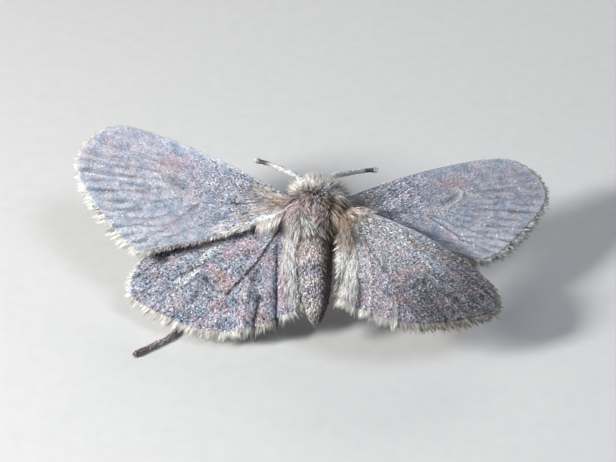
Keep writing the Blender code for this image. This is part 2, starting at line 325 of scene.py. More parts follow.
def spread(roots, points, faces, tone, steps):
    """The mesh of every tuft or scale; steps are how far across and along it each of its points is."""
    count, per, steps = len(roots["at"]), len(steps), np.array(steps, float)
    faces = (np.arange(count)[:, None, None] * per + np.array(faces)[None]).reshape(-1, 3)
    unwrap = np.clip(roots["unwrap"][:, None, :] + PATCH * (steps[None] - (0.0, 0.5)), 0.0, 1.0)
    strand = np.stack((np.repeat(tone, per), np.tile(np.minimum(steps[:, 1], 1), count)), axis=1)
    points = np.stack(points, axis=1).reshape(-1, 3)
    return mapped(points, faces, unwrap.reshape(-1, 2), np.repeat(roots["marks"], per, axis=0), strand)


def tufts(roots, length, width, lift, bend, curl=0.12, rings=2, per_lock=0, pull=0.8):
    """Solid three-sided pointed hairs that rise by lift, fall back by bend and sway by curl."""
    count = len(roots["at"])
    length, width, lift, bend = (np.broadcast_to(v, count)[:, None] for v in (length, width, lift, bend))
    at, flow, normal = roots["at"], roots["flow"], roots["normal"]
    across = np.cross(flow, normal)
    tone = dice.random(count)
    sway = dice.normal(0, curl, count)[:, None]
    gather = np.zeros_like(at)
    if per_lock:
        middle, own = locks(at, per_lock)
        gather = (at[middle] - at) * pull
        tone = np.clip(0.5 + 1.35 * (0.6 * own + 0.4 * tone - 0.5), 0, 1)
        length = length * (0.8 + 0.4 * own[:, None])
        sway = sway[middle] * 0.7 + sway * 0.3
    corners = ((0.5, -0.2), (-0.5, -0.2), (0.0, 0.45))
    points, steps = [], []
    for ring in range(rings + 1):
        t = ring / rings
        middle = at + length * (flow * t + normal * (lift * t - bend * t * t) + across * sway * t * t)
        middle = middle + gather * t**1.4 - normal * ROOT_SUNK * (1 - t)
        size = width * (1 - t**HAIR_TAPER)
        for side, rise in corners if ring < rings else ((0.0, 0.0),):
            points.append(middle + across * side * size + normal * rise * size)
            steps.append((side, t))
    faces = [(0, 2, 1)]
    for a in range(0, 3 * rings - 3, 3):
        b, c, d, e, f = range(a + 1, a + 6)
        faces += [(c, a, d), (c, d, f), (b, c, f), (b, f, e), (a, b, e), (a, e, d)]
    a, b, c, tip = range(3 * rings - 3, 3 * rings + 1)
    faces += [(c, a, tip), (b, c, tip), (a, b, tip)]
    return spread(roots, points, faces, tone, steps)


def scales(roots, length, width, lift=0.2, uneven=0.1, tone_range=1.0, painted_glints=0.0):
    """Solid scales, widest near the rounded tip, that lie like roof tiles; a few are painted white as glints.
    """
    count = len(roots["at"])
    length, width = (np.broadcast_to(v, count)[:, None] for v in (length, width))
    normal = roots["normal"]
    turn = dice.normal(0, SCALE_YAW, count)[:, None]
    flow = unit(roots["flow"] + np.cross(roots["flow"], normal) * turn)
    across = np.cross(flow, normal)
    tone = 0.5 + (dice.random(count) - 0.5) * tone_range
    # Painted glints: a few scales take the whitest tone in place of a highlight.
    tone = np.where(dice.random(count) < painted_glints, 1.0, tone)
    slope = np.maximum(dice.normal(lift, uneven, count), 0.02)[:, None]
    roll = dice.normal(0, uneven, count)[:, None]
    shape = ((0, 0, 0), (0.5, 0.72, 0), (0, 1.05, 0), (-0.5, 0.72, 0), (0, 0.6, 1))
    points = []
    for x, y, z in shape:
        rise = length * slope * y + width * (roll * x + SCALE_DOME * z) + 0.006
        points.append(roots["at"] + across * x * width + flow * y * length + normal * rise)
    faces = [(0, 1, 4), (1, 2, 4), (2, 3, 4), (3, 0, 4), (0, 3, 1), (3, 2, 1)]
    coat = spread(roots, points, faces, tone, [(x, y) for x, y, z in shape])
    return {**coat, "smooth": False}


def grid(rows, columns, row):
    """The row, the column and the four corners of each square between neighbouring rows of points."""
    i, j = (a.ravel() for a in np.meshgrid(np.arange(rows), np.arange(columns), indexing="ij"))
    k = (j + 1) % row
    return i, j, (i * row + j, i * row + k, (i + 1) * row + k, (i + 1) * row + j)


def skin_tube(surface, along, around, marking):
    """A closed skin over a surface that is round in v: rings from u 0 to 1, closed by a point at each end."""
    u, v = np.linspace(0, 1, along + 1), np.arange(around) / around
    rings = surface(*(a.ravel() for a in np.meshgrid(u, v, indexing="ij")))
    ends = [surface(np.full(around, end), v).mean(axis=0) for end in (0.0, 1.0)]
    points = np.vstack((rings, ends))
    i, j, (a, b, c, d) = grid(along, around, around)
    x0, x1, y0, y1 = j / around, (j + 1) / around, u[i], u[i + 1]
    ring = np.arange(around)
    after, last = (ring + 1) % around, along * around
    tips = [np.full(around, len(points) - back) for back in (2, 1)]
    left, right, middle, zero = ring / around, (ring + 1) / around, (ring + 0.5) / around, 0.0 * ring
    # Corners of the triangles, and where they lie across and along the unwrap.
    parts = (
        ((a, b, c), (x0, x1, x1), (y0, y0, y1)),
        ((a, c, d), (x0, x1, x0), (y0, y1, y1)),
        ((after, ring, tips[0]), (right, left, middle), (zero + 0.002, zero + 0.002, zero)),
        ((last + ring, last + after, tips[1]), (left, right, middle), (zero + 0.998, zero + 0.998, zero + 1)),
    )
    faces, across, down = (np.concatenate([np.stack(part[k], axis=1) for part in parts]) for k in range(3))
    return mapped(points, faces, np.stack((across, down), axis=2).reshape(-1, 2), marking(points))


# ------------------------------------------------------------------ finishes

BLEND = {"data_type": "RGBA"}
MULTIPLY = {"data_type": "RGBA", "blend_type": "MULTIPLY"}


def colour(code):
    """An sRGB hex value as linear light."""
    parts = [int(code[k : k + 2], 16) / 255 for k in (1, 3, 5)]
    return (*[c / 12.92 if c <= 0.04045 else ((c + 0.055) / 1.055) ** 2.4 for c in parts], 1.0)


def add_node(tree, kind, settings=None, inputs=None):
    """A node with its settings, and its inputs set to a value or linked from another node's output."""
    node = tree.nodes.new(kind)
    for name, value in (settings or {}).items():
        setattr(node, name, value)
    for name, value in (inputs or {}).items():
        if isinstance(value, bpy.types.NodeSocket):
            tree.links.new(value, node.inputs[name])
        else:
            node.inputs[name].default_value = value
    return node


def new_finish(name):
    material = bpy.data.materials.new(name)
    material.use_nodes = True
    material.node_tree.nodes.clear()
    return material, material.node_tree


def coat_finish(name, tones, codes, roughness, root_shade=0.6, patch_mm=0.8, sheen=0.0, grain=(0, 0)):
    """Each hair's own tone, in cool and warm patches and in the markings it grows in, with painted shade that
    darkens it towards its root.
    """
    material, tree = new_finish(name)
    # Markings in the four colours, then the cool and the warm patches of the ground colour.
    pale, pink, dark, ochre, cool, warm = codes.split()
    reads = [add_node(tree, "ShaderNodeUVMap", {"uv_map": map_name}).outputs["UV"] for map_name in MAPS[1:]]
    split = [add_node(tree, "ShaderNodeSeparateXYZ", inputs={0: read}).outputs for read in reads]
    strand, marks, more = split
    place = add_node(tree, "ShaderNodeTexCoord").outputs["Object"]
    tone = add_node(tree, "ShaderNodeValToRGB", inputs={"Fac": strand["X"]})
    stops = tone.color_ramp.elements
    for position, code in tones.items():
        stop = stops[-position] if position in (0, 1) else stops.new(position)
        stop.color = colour(code)
    middle = [np.interp(0.5, list(tones), [colour(code)[k] for code in tones.values()]) for k in range(3)]

    def tinted(code):
        """The colour, as light or dark as the hair it falls on."""
        ratio = (*[c / m for c, m in zip(colour(code)[:3], middle)], 1.0)
        tinting = {0: 1.0, 6: tone.outputs["Color"], 7: ratio}
        return add_node(tree, "ShaderNodeMix", MULTIPLY, tinting).outputs[2]

    cloud_inputs = {"Vector": place, "Scale": 1000 / patch_mm, "Detail": 3.0, "Roughness": 0.6}
    clouds = add_node(tree, "ShaderNodeTexNoise", inputs=cloud_inputs)
    patch_inputs = {"Value": clouds.outputs["Fac"], "From Min": 0.38, "From Max": 0.62}
    patches = add_node(tree, "ShaderNodeMapRange", inputs=patch_inputs)
    ground = {0: patches.outputs["Result"], 6: tinted(cool), 7: tinted(warm)}
    base = add_node(tree, "ShaderNodeMix", BLEND, ground).outputs[2]
    for share, code in ((marks["Y"], pink), (marks["X"], pale), (more["Y"], ochre), (more["X"], dark)):
        marking = add_node(tree, "ShaderNodeMix", BLEND, {0: 0.8, 6: colour(code), 7: tinted(code)})
        base = add_node(tree, "ShaderNodeMix", BLEND, {0: share, 6: base, 7: marking.outputs[2]}).outputs[2]
    # Painted shade: the colour darkens towards the root, down to root_shade, where the coat shades itself.
    depth_inputs = {"Value": strand["Y"], "From Max": 0.6, "To Min": root_shade}
    depth = add_node(tree, "ShaderNodeMapRange", inputs=depth_inputs)
    shaded = {0: 1.0, 6: base, 7: depth.outputs["Result"]}
    base = add_node(tree, "ShaderNodeMix", {**MULTIPLY, "clamp_result": True}, shaded).outputs[2]
    surface = {"Base Color": base, "Roughness": roughness, "IOR": 1.55, "Sheen Weight": sheen}
    across_mm, deep_mm = grain
    if deep_mm:
        bump_inputs = {"Vector": place, "Scale": 1000 / across_mm, "Detail": 2.0}
        bumps = add_node(tree, "ShaderNodeTexNoise", inputs=bump_inputs)
        relief = {"Height": bumps.outputs["Fac"], "Distance": deep_mm * 0.001, "Strength": 0.8}
        surface["Normal"] = add_node(tree, "ShaderNodeBump", inputs=relief).outputs["Normal"]
    shader = add_node(tree, "ShaderNodeBsdfPrincipled", inputs=surface)
    add_node(tree, "ShaderNodeOutputMaterial", inputs={"Surface": shader.outputs["BSDF"]})
    return material


# Powdery chitin scales: hollow ridged flakes, matt blue-grey, a few of them dark and a few painted white as
# glints.
wing_scale = coat_finish(
    "powdery_wing_scales",
    {
        0: "#303030", 0.08: "#5f5f5f", 0.2: "#909090", 0.5: "#adadad",
        0.8: "#c2c2c2", 0.95: "#dedede", 1: "#f6f6f6",
    },
    "#cfd2d8 #bcaab5 #3b3636 #a8907a #8696ab #b4b7c4",
    roughness=0.46,
    sheen=0.15,
)
# Soft hair-like scales: long, silky and pale, with less gloss than flat ones. Real ones are a fifth as wide.
body_hair = coat_finish(
    "silky_body_hair",
    {0: "#2c2a29", 0.2: "#5c5a59", 0.36: "#8b898a", 0.5: "#acabac", 0.75: "#cdcccd", 1: "#e8e8e9"},
    "#dfe0de #c8adb5 #7a6853 #ba966a #acb5c6 #c6b8ab",
    roughness=0.5,
    root_shade=0.36,
    patch_mm=0.35,
    sheen=0.2,
)
# The abdomen's narrow scales: matt grey chitin with dark grains, with painted shade at their roots.
abdomen_hair = coat_finish(
    "grey_abdomen_hair",
    {0: "#2a2a2a", 0.2: "#5c5c5c", 0.45: "#979797", 0.7: "#bcbcbc", 0.9: "#dadada", 1: "#f2f2f2"},
    "#d3cec9 #bfa6a8 #5b4e42 #a8957a #8795a9 #a69ea8",
    roughness=0.48,
    root_shade=0.4,
    sheen=0.15,
)
# Fringe scales: long thin strips of clear chitin, which look cream because they scatter light.
fringe_hair = coat_finish(
    "cream_fringe_hair",
    {0: "#6d6e71", 0.25: "#95969a", 0.5: "#afb0b3", 0.8: "#c5c6c8", 1: "#e0e1e3"},
    "#cfd0ca #bcb0b6 #6a5c4c #b0a08e #b0b5bb #c0bfb9",
    roughness=0.5,
    sheen=0.15,
)
# Leg scales: short flakes in white and brown that lie close, a little shinier than hair.
leg_scale = coat_finish(
    "speckled_leg_scales",
    {0: "#554d4a", 0.25: "#837d7c", 0.5: "#a09c9d", 0.8: "#bdbbbe", 1: "#e6e6e7"},
    "#dedadb #c9b8bc #74665f #8a6a4a #c0bcc2 #ccc0be",
    roughness=0.45,
    root_shade=0.85,
    patch_mm=0.3,
)
# Feeler scales: flat white flakes in rings, brown towards the tip.
feeler_scale = coat_finish(
    "pale_feeler_scales",
    {0: "#7d7f86", 0.3: "#aeb1b9", 0.7: "#cdd0d8", 1: "#f1f3f7"},
    "#dfe1e6 #b3a6a8 #2c2420 #7a5638 #b6bac3 #c4c2c6",
    roughness=0.45,
    root_shade=0.5,
    patch_mm=0.3,
)
# Bare cuticle: hard brown chitin, smooth with a low gloss, showing only in gaps of the coat.
cuticle = coat_finish(
    "brown_cuticle",
    {0: "#4c433d", 1: "#77706d"},
    "#aaa39a #8b7a7c #2b231d #7d5b3c #5f5a5b #675d56",
    roughness=0.5,
    root_shade=1.0,
    grain=(0.03, 0.01),
)
# The wing's clear membrane under its scales: it takes their colour and their grain.
membrane_finish = coat_finish(
    "scale_covered_membrane",
    {0: "#7c808c", 1: "#a2a7b3"},
    "#bfc2c8 #a3909a #332b26 #96714f #838c9c #a39ea8",
    roughness=0.55,
    root_shade=1.0,
    grain=(0.09, 0.02),
)


def plain_finish(
    name, code, roughness, other=None, grains=3000.0, detail=2.0, ior=1.55, gloss=0.0, lens_mm=0.0
):
    """A colour mottled with another or with a darker one, and small domed lenses where they have a size."""
    material, tree = new_finish(name)
    place = add_node(tree, "ShaderNodeTexCoord").outputs["Object"]
    grain = add_node(tree, "ShaderNodeTexNoise", inputs={"Vector": place, "Scale": grains, "Detail": detail})
    second = colour(other) if other else (*[c * 0.55 for c in colour(code)[:3]], 1.0)
    base = add_node(tree, "ShaderNodeMix", BLEND, {0: grain.outputs["Fac"], 6: colour(code), 7: second})
    surface = {"Base Color": base.outputs[2], "Roughness": roughness, "IOR": ior}
    surface.update({"Coat Weight": gloss, "Coat Roughness": 0.12})
    if lens_mm:
        cells = add_node(tree, "ShaderNodeTexVoronoi", inputs={"Vector": place, "Scale": 1000 / lens_mm})
        relief = {"Height": cells.outputs["Distance"], "Distance": lens_mm * 0.0004, "Strength": 1.0}
        surface["Normal"] = add_node(tree, "ShaderNodeBump", {"invert": True}, relief).outputs["Normal"]
    shader = add_node(tree, "ShaderNodeBsdfPrincipled", inputs=surface)
    add_node(tree, "ShaderNodeOutputMaterial", inputs={"Surface": shader.outputs["BSDF"]})
    return material


# A compound eye: clear domed lenses over dark pigment, so it is nearly black with a wet gloss.
# Its lenses are twice as wide as real ones, so that they show.
eye_facets = plain_finish("dark_compound_eye", "#2a1d16", 0.18, ior=1.5, gloss=0.6, lens_mm=0.045)
# Claws: hard dark brown horn.
claw_horn = plain_finish("dark_claw_horn", "#2c1e16", 0.3)
# Matt painted board: even and pale, with the faintest mottling.
board = plain_finish("pale_matt_board", "#c9cacb", 0.8, "#d3d4d4", grains=900.0, detail=4.0, ior=1.5)

# ------------------------------------------------------------------ the body's skin


def skin_profile(share):
    """Forward place, height, half width and half height of the skin, at shares of the way to the tail."""
    front = spline(SKIN_STATIONS, share / FRONT_END)
    rear = np.clip((share - REAR_START) / (1 - REAR_START), 0, 1) * TAIL_SHARE
    middle = ABDOMEN_START + (ABDOMEN_TIP - ABDOMEN_START) * rear[:, None]
    radius = ABDOMEN_RADIUS * np.maximum(1 - rear**3.2, 0) ** 0.55
    radius = radius * (1 - SEGMENT_GROOVE * np.maximum(0, np.cos(2 * math.pi * ABDOMEN_SEGMENTS * rear)) ** 4)
    radius = np.maximum(radius - ABDOMEN_COAT * (1 - 0.3 * rear), 0.05)
    back = np.stack((middle[:, 1], middle[:, 2], radius, radius * ABDOMEN_FLATNESS), axis=1)
    blend = ramp(share, REAR_START, FRONT_END)[:, None]
    return front * (1 - blend) + back * blend


def body_surface(share, around):
    """Around runs from the belly up the left side over the back."""
    profile = skin_profile(np.clip(share, 0, 1))
    angle = 2 * math.pi * around
    up = -np.cos(angle) * profile[:, 3] + profile[:, 1]
    return body_point(np.stack((-np.sin(angle) * profile[:, 2], profile[:, 0], up), axis=1))


def down_abdomen(y):
    return (ABDOMEN_START[1] - y) / (ABDOMEN_START[1] - ABDOMEN_TIP[1])


def body_marks(points):
    """Markings of the body's coat at places on it, with painted light and shade: pale, pink, dark, ochre."""
    x, y, z = in_body(points).T
    speckle, strands = soft_noise(points, 0.5, 11), soft_noise(points, 0.2, 12)
    left, right, top = ramp(x, -0.3, -1.3), ramp(x, 0.2, 0.9), ramp(z, -0.5, 0.7)
    # Behind the cream ruff: a pink-brown patch, pink strands on the midline, blue-white ones on the left. The
    # right side's dark brown, with its ochre tint, is partly the hair's own colour and partly painted shade
    # away from the light.
    ruff = ramp(y, 1.15, 1.45)
    behind = bump(y, 0.85, 0.45) * ramp(x, 0.5, -0.2) * top
    chevron = bump(y - 1.15 * np.abs(x), -1.2, 0.42) * ramp(np.abs(x), 1.15, 0.85) * top
    swept = bump(y + 0.3 * x, -1.6, 0.4) * ramp(x, 0.05, -0.3) * ramp(x, -1.3, -1.0) * top
    thorax = (
        0.85 * ruff + 0.8 * swept + 0.5 * left * ramp(y, 0.2, -0.8) + 0.2 * np.maximum(strands, 0),
        chevron + 0.6 * behind + 0.4 * left * ramp(y, 0.7, 0.1) + 0.25 * strands,
        0.5 * behind
        # Partly brown hair, partly painted shade on the right side.
        + 0.95 * right * ramp(y, 1.1, 0.5) * (0.8 + 0.4 * strands) * (1 - 0.8 * chevron)
        + 0.25 * bump(y, 0.1, 0.6) * top * (1 - left)
        # Painted shade in the V where the thorax hair parts at the rear.
        + 0.8 * bump(y, -1.35, 0.16) * bump(x, 0.05, 0.3),
        0.2 * ruff + 0.3 * bump(x, -1.5, 0.25) * ramp(y, 0.4, -0.2) + 0.15 * right * ramp(y, 1.1, 0.5),
    )
    # The abdomen: an olive-cream start, cream and pink rings and a pale tip. Painted shade darkens and browns
    # its right side and its underside, its pale bands are painted brighter on the lit left side, and a
    # painted shadow lies under the thorax's overhanging hair.
    rear = np.clip(down_abdomen(y), 0, 1)
    ring = sum(bump(y, place, 0.26) for place in ABDOMEN_RINGS)
    lesser = np.maximum(0, np.cos(2 * math.pi * (ABDOMEN_SEGMENTS * rear - 0.05))) ** 4
    start = ramp(y, -3.3, -2.9)
    banded = 0.75 * ring + 0.2 * lesser + 0.35 * start + 0.35 * bump(y, -5.1, 0.4) + 0.5 * bump(y, -7.1, 0.35)
    # Painted light: the pale bands are strongest on the left and fade towards the shaded right.
    lit = 1 - 0.6 * ramp(x, 0.1, 0.7)
    grain = ramp(soft_noise(points, 0.1, 31), 0.1, 0.5)
    abdomen = (
        lit * (banded + 0.12 * speckle) + 0.5 * ramp(rear, 0.93, 0.98) * ramp(x, 0.3, -0.2),
        0.45 * ring
        + 0.7 * bump(y, -3.5, 0.4)
        + 0.15 * ramp(x, 0.2, -0.5) * ramp(y, -4.3, -4.0)
        + 0.1 * speckle,
        # Painted shade on the right side and underneath.
        0.75 * ramp(x, 0.15, 0.75)
        + 0.3 * ramp(z, -0.2, -0.8)
        # Painted shadow under the thorax's overhanging hair.
        + 0.4 * bump(y, -2.4, 0.2)
        + 0.35 * ramp(y, -7.3, -7.7) * ramp(x, -0.7, -0.1)
        + 0.6 * grain * (1 - 0.8 * np.minimum(ring, 1)) * ramp(y, -3.7, -4.1),
        0.3 * start + 0.15 * ramp(x, 0.2, 0.8),
    )
    belly = ramp(y, -2.0, -2.3)[:, None]
    return np.clip(np.stack(thorax, axis=1) * (1 - belly) + np.stack(abdomen, axis=1) * belly, 0, 1)


def body_roots(count, shares, around=(0.0, 1.0), flow=None):
    """Places spread evenly over the body's skin, lying towards the tail or as flow combs them."""
    u = dice.uniform(*shares, count * 3)
    v = dice.uniform(*around, count * 3) % 1.0
    size = np.linalg.norm(np.cross(*slopes(body_surface, u, v)), axis=1)
    keep = np.flatnonzero(dice.random(len(u)) * size.max() < size)[:count]
    u, v = u[keep], v[keep]
    at, normal, along, _ = lie_of(body_surface, u, v)
    outward = at - body_surface(u, v + 0.5)
    normal = normal * np.sign(np.sum(normal * outward, axis=1, keepdims=True))
    place = in_body(at)
    lie = flow(along, *place.T) if flow else along
    return {**rooted(at, lie, normal, np.stack((v, u), axis=1), body_marks(at)), "place": place}


def palp_surface(side):
    def surface(u, v):
        radius = PALP_RADIUS * np.sqrt(np.clip(1 - (np.clip(u, 0, 1) * 1.02 - 0.05) ** 6, 0.02, 1))
        angle = 2 * math.pi * v
        ring = np.stack((np.cos(angle), 0 * angle, np.sin(angle)), axis=1)
        return body_point(spline(PALP * (side, 1, 1), u) + ring * radius[:, None])

    return surface


palps = [skin_tube(palp_surface(side), 12, 14, body_marks) for side in (-1, 1)]
skin = joined(skin_tube(body_surface, 150, 72, body_marks), *palps)
make_piece("body_skin", skin, cuticle, ("head", "thorax", "abdomen", "palp_left", "palp_right"))

# ------------------------------------------------------------------ the body's coat


def sideways(share):
    """Directions to the moth's right by each share, or to its left where the share is negative."""
    return np.outer(share, (1, 0, 0))


def combed(along, x, y, z):
    """Thorax hair fans out behind the ruff, meets in a chevron, then sweeps over to the right."""
    outer = ramp(np.abs(x), 0.7, 1.1)
    fan_out = 0.75 * np.clip(x / 1.2, -1, 1) * np.maximum(ramp(y, -0.4, 0.3), outer)
    chevron = -0.95 * np.tanh(x / 0.2) * ramp(y, -0.1, -0.5) * ramp(y, -1.45, -1.15) * (1 - outer)
    rear = 0.55 * ramp(y, -1.15, -1.45) * (1 - outer)
    sway = soft_noise(np.stack((x, y, z), axis=1), 0.8, 5) * 0.2
    return along + sideways(fan_out + chevron + rear + sway)


def over_wing_roots(along, x, y, z):
    return along * (0.3 + 0.9 * ramp(y, 0.7, -0.6))[:, None] + sideways(0.85 * np.sign(x))


def brushed_up(along, x, y, z):
    """Hair of the ruff leans forward and out to the sides, like the brim of a hood."""
    return sideways(np.clip(x / 0.9, -1.2, 1.2)) - along * (0.15 + 0.6 * ramp(y, 1.5, 2.2))[:, None]


def crown_lie(along, x, y, z):
    return along * (1 - 1.6 * ramp(y, 2.2, 2.9))[:, None]


# The thorax: fine soft hair in loose locks, longest at the rear where it hangs over the abdomen.
thorax = body_roots(15500, (0.265, 0.56), flow=combed)
x, y, z = thorax["place"].T
keep = (z > -1.2) | (dice.random(len(z)) < 0.35)
thorax = chosen(thorax, keep & ((y > -1.85) | (z < 0.2)))
x, y, z = thorax["place"].T
guard = dice.random(len(x)) < 0.3
front, rear = ramp(y, 0.6, 1.4), ramp(y, -0.2, -1.5)
lobe = bump(x, 0.5, 0.4) * ramp(y, -1.0, -1.4)
length = dice.normal(0.48 - 0.16 * front + 0.2 * rear + 0.28 * lobe + 0.12 * guard, 0.07)
lift = dice.normal(0.45 + 1.3 * front + 0.2 * guard, 0.1)
coat = tufts(thorax, length, 0.056, lift, 0.34, curl=0.08, per_lock=4, pull=0.3)
make_piece("thorax_hair", coat, body_hair)

# Shoulder tufts: long hair that arches out over the roots of the wings and back along the body.
shoulder_coats = []
for around, reach in (((0.26, 0.45), 1.45), ((0.56, 0.76), 1.6)):
    shoulder = body_roots(4600, (0.27, 0.51), around, over_wing_roots)
    x, y, z = shoulder["place"].T
    shoulder = chosen(shoulder, np.abs(x) > 0.9 - 0.2 * ramp(y, 0.3, 1.0))
    x, y, z = shoulder["place"].T
    length = dice.normal(reach, 0.22, len(x)) + 0.45 * ramp(y, 0.1, 0.9) * (x < 0)
    shoulder_coats.append(tufts(shoulder, length, 0.052, 0.6, 0.5, per_lock=5, pull=0.35))
make_piece("shoulder_hair", joined(*shoulder_coats), body_hair)

# The ruff: a hood of cream hair that stands up behind the head and reaches down to the roots of the wings.
ruff = body_roots(6800, (0.2, 0.3), (0.03, 0.97), brushed_up)
x, y, z = ruff["place"].T
upper = ramp(z, -1.1, -0.3)
length = dice.normal(0.25 + 0.3 * upper + 0.15 * ramp(np.abs(x), 0.5, 1.1) * upper, 0.07)
lift = dice.normal(0.5 + 0.9 * upper + 0.7 * ramp(x, 0.1, 0.7) * upper, 0.2)
make_piece("neck_ruff", tufts(ruff, length, 0.052, lift, 0.25, per_lock=5, pull=0.4), body_hair)

# The head: standing tufts on the crown, and small scales flat on the face up to the rims of the eyes.
head = body_roots(12500, (0.003, 0.25), flow=crown_lie)
from_eyes = [np.linalg.norm(head["place"] - np.array(EYE_CENTRE) * (side, 1, 1), axis=1) for side in (-1, 1)]
head = chosen(head, np.minimum(*from_eyes) > EYE_RADIUS * 1.02)
crown = ramp(head["place"][:, 2], -0.75, -0.3) * ramp(head["place"][:, 1], 3.25, 2.75)
tall = dice.random(len(crown)) < crown
length = dice.normal(0.2 + 0.23 * crown[tall], 0.04)
lift = dice.normal(0.3 + 0.85 * crown[tall], 0.12)
coat = tufts(chosen(head, tall), length, 0.055, lift, 0.2, per_lock=6)
make_piece("head_hair", coat, body_hair)
coat = scales(chosen(head, ~tall), 0.15, 0.06, lift=0.3)
make_piece("face_scales", coat, body_hair)

# The abdomen: small scales in rows, with soft hair at each segment's edge and a pointed tuft at the tail.
abdomen = body_roots(13000, (0.56, 0.99))
coat = scales(abdomen, 0.3 * dice.uniform(0.8, 1.25, len(abdomen["at"])), 0.07)
make_piece("abdomen_scales", coat, abdomen_hair)
edging = body_roots(7500, (0.56, 0.97))
edge = np.maximum(0, np.cos(2 * math.pi * ABDOMEN_SEGMENTS * down_abdomen(edging["place"][:, 1]))) ** 3
keep = dice.random(len(edge)) < 0.12 + 0.88 * edge
edging, edge = chosen(edging, keep), edge[keep]
length, lift = dice.normal(0.3 + 0.08 * edge, 0.06), dice.normal(0.34, 0.08, len(edge))
make_piece("abdomen_hair", tufts(edging, length, 0.045, lift, 0.24, per_lock=4), abdomen_hair)
tail = body_roots(1000, (0.9, 0.995))
length = dice.normal(0.78, 0.12, len(tail["at"]))
coat = tufts(tail, length, 0.055, 0.1, 0.2, rings=3, per_lock=6, pull=0.5)
make_piece("tail_tuft", coat, fringe_hair)

palp_coats = []
for side in (-1, 1):
    u, v = 1 - 0.997 * dice.random(650) ** 1.4, dice.random(650)
    at, _, along, _ = lie_of(palp_surface(side), u, v)
    normal = unit(at - body_point(spline(PALP * (side, 1, 1), u)))
    roots = rooted(at, along, normal, np.stack(((v + (side > 0)) / 2, u), axis=1), body_marks(at))
    palp_coats.append(tufts(roots, 0.28, 0.05, 0.35, 0.2))
make_piece("palp_hair", joined(*palp_coats), body_hair)

# ------------------------------------------------------------------ eyes

for name, side in (("eye_left", -1), ("eye_right", 1)):

    def ball(u, v):
        polar, turn = math.pi * np.clip(u, 0.004, 0.996), 2 * math.pi * v
        way = (side * np.cos(polar), np.sin(polar) * np.cos(turn), side * np.sin(polar) * np.sin(turn))
        return body_point(np.array(EYE_CENTRE) * (side, 1, 1)) + np.stack(way, axis=1) * EYE_RADIUS

    make_piece(name + "_lens", skin_tube(ball, 40, 56, body_marks), eye_facets, (name,))

# ------------------------------------------------------------------ wings

# Veins on the wings' plans, in millimetres out and back.
FORE_VEINS = (
    ((0.0, 0.1), (1.6, 0.6), (3.1, 1.15), (5.8, 1.8)),
    ((5.8, 1.8), (7.7, 1.6), (9.1, 0.9), (9.5, 0.3)),
    ((5.8, 1.8), (6.6, 3.0), (7.6, 4.6), (9.4, 6.0)),
    ((5.9, 1.8), (7.6, 3.1), (9.6, 4.6), (11.3, 5.4)),
    ((7.2, 1.7), (9.4, 2.8), (11.6, 4.0), (13.0, 4.3)),
    ((8.4, 1.3), (11.0, 2.2), (14.4, 3.0)),
    ((9.2, 0.8), (12.0, 1.3), (15.5, 1.7)),
    ((9.5, 0.3), (12.5, 0.3), (15.9, 0.2)),
    ((9.2, -0.3), (12.5, -0.7), (15.5, -1.0)),
    ((0.0, -0.1), (3.0, -0.5), (6.5, -0.9), (9.2, -0.3), (9.5, 0.3)),
    ((7.2, -1.0), (10.5, -1.6), (14.6, -1.9)),
    ((0.0, 0.45), (2.5, 1.7), (5.0, 3.3), (7.8, 5.6)),
)
HIND_VEINS = (
    ((0.6, 0.2), (1.7, 0.85), (3.4, 2.05), (6.1, 3.3)),
    ((6.1, 3.3), (7.2, 4.4), (8.0, 5.6)),
    ((6.1, 3.3), (8.2, 4.2), (9.4, 4.9)),
    ((6.1, 3.3), (6.9, 2.6), (7.3, 1.6), (7.0, 0.6)),
    ((7.3, 1.9), (9.2, 2.8), (10.9, 3.5)),
    ((7.2, 1.3), (9.8, 1.6), (12.0, 2.0)),
    ((0.3, -0.3), (3.3, -0.3), (7.0, 0.6), (9.6, 0.6), (12.6, 0.5)),
    ((3.3, -0.3), (7.0, -0.6), (9.4, -0.8), (12.2, -0.6)),
    ((3.0, 1.9), (4.6, 3.6), (6.0, 5.9)),
)
# Strokes of marking on the wings' plans: which marking, how strong, half width, and the line.
PALE, PINK, DARK, OCHRE = range(4)
FORE_STROKES = (
    (PALE, 0.2, 0.18, FORE_VEINS[0]),
    (PINK, 0.5, 0.5, ((8.3, -0.6), (9.5, -0.6))),
    (DARK, 0.22, 0.5, ((8.3, -0.6), (9.5, -0.6))),
    (PINK, 0.3, 0.3, ((6.6, 3.0), (7.6, 4.4))),
    (DARK, 0.3, 0.05, FORE_VEINS[0][1:]),
    (DARK, 0.35, 0.07, ((5.8, 1.85), (7.3, 3.8), (7.7, 4.2))),
)
HIND_STROKES = (
    (PALE, 0.9, 0.28, ((1.0, -0.4), (4.1, -0.8), (6.4, 0.1), (9.1, 1.6))),
    (PALE, 0.4, 0.2, ((4.3, 2.0), (5.1, 4.2), (6.0, 6.0))),
    (PALE, 0.4, 0.2, ((6.3, 3.0), (7.1, 4.4), (8.1, 5.8))),
    (PINK, 0.7, 0.55, ((2.4, 0.1), (3.6, 0.7))),
    (PINK, 0.7, 0.4, ((4.9, 0.7), (5.3, 0.9))),
    (PINK, 0.7, 0.45, ((5.8, 2.0), (6.3, 2.5))),
    *((PINK, 0.55, width * 0.9, line) for line, width, _ in HIND_PLEATS[3:]),
    (DARK, 0.35, 0.09, ((3.4, -1.2), (5.2, -0.85), (6.8, -0.2), (8.6, 0.8))),
    (DARK, 0.75, 0.06, ((8.8, -1.2), (10.1, -1.0), (11.6, -0.7))),
    (DARK, 0.75, 0.06, ((7.2, 0.5), (8.3, 0.8))),
    (DARK, 0.75, 0.06, ((8.2, 3.9), (9.1, 4.2))),
    (OCHRE, 0.45, 0.3, ((6.0, 1.6), (6.3, 2.2))),
)
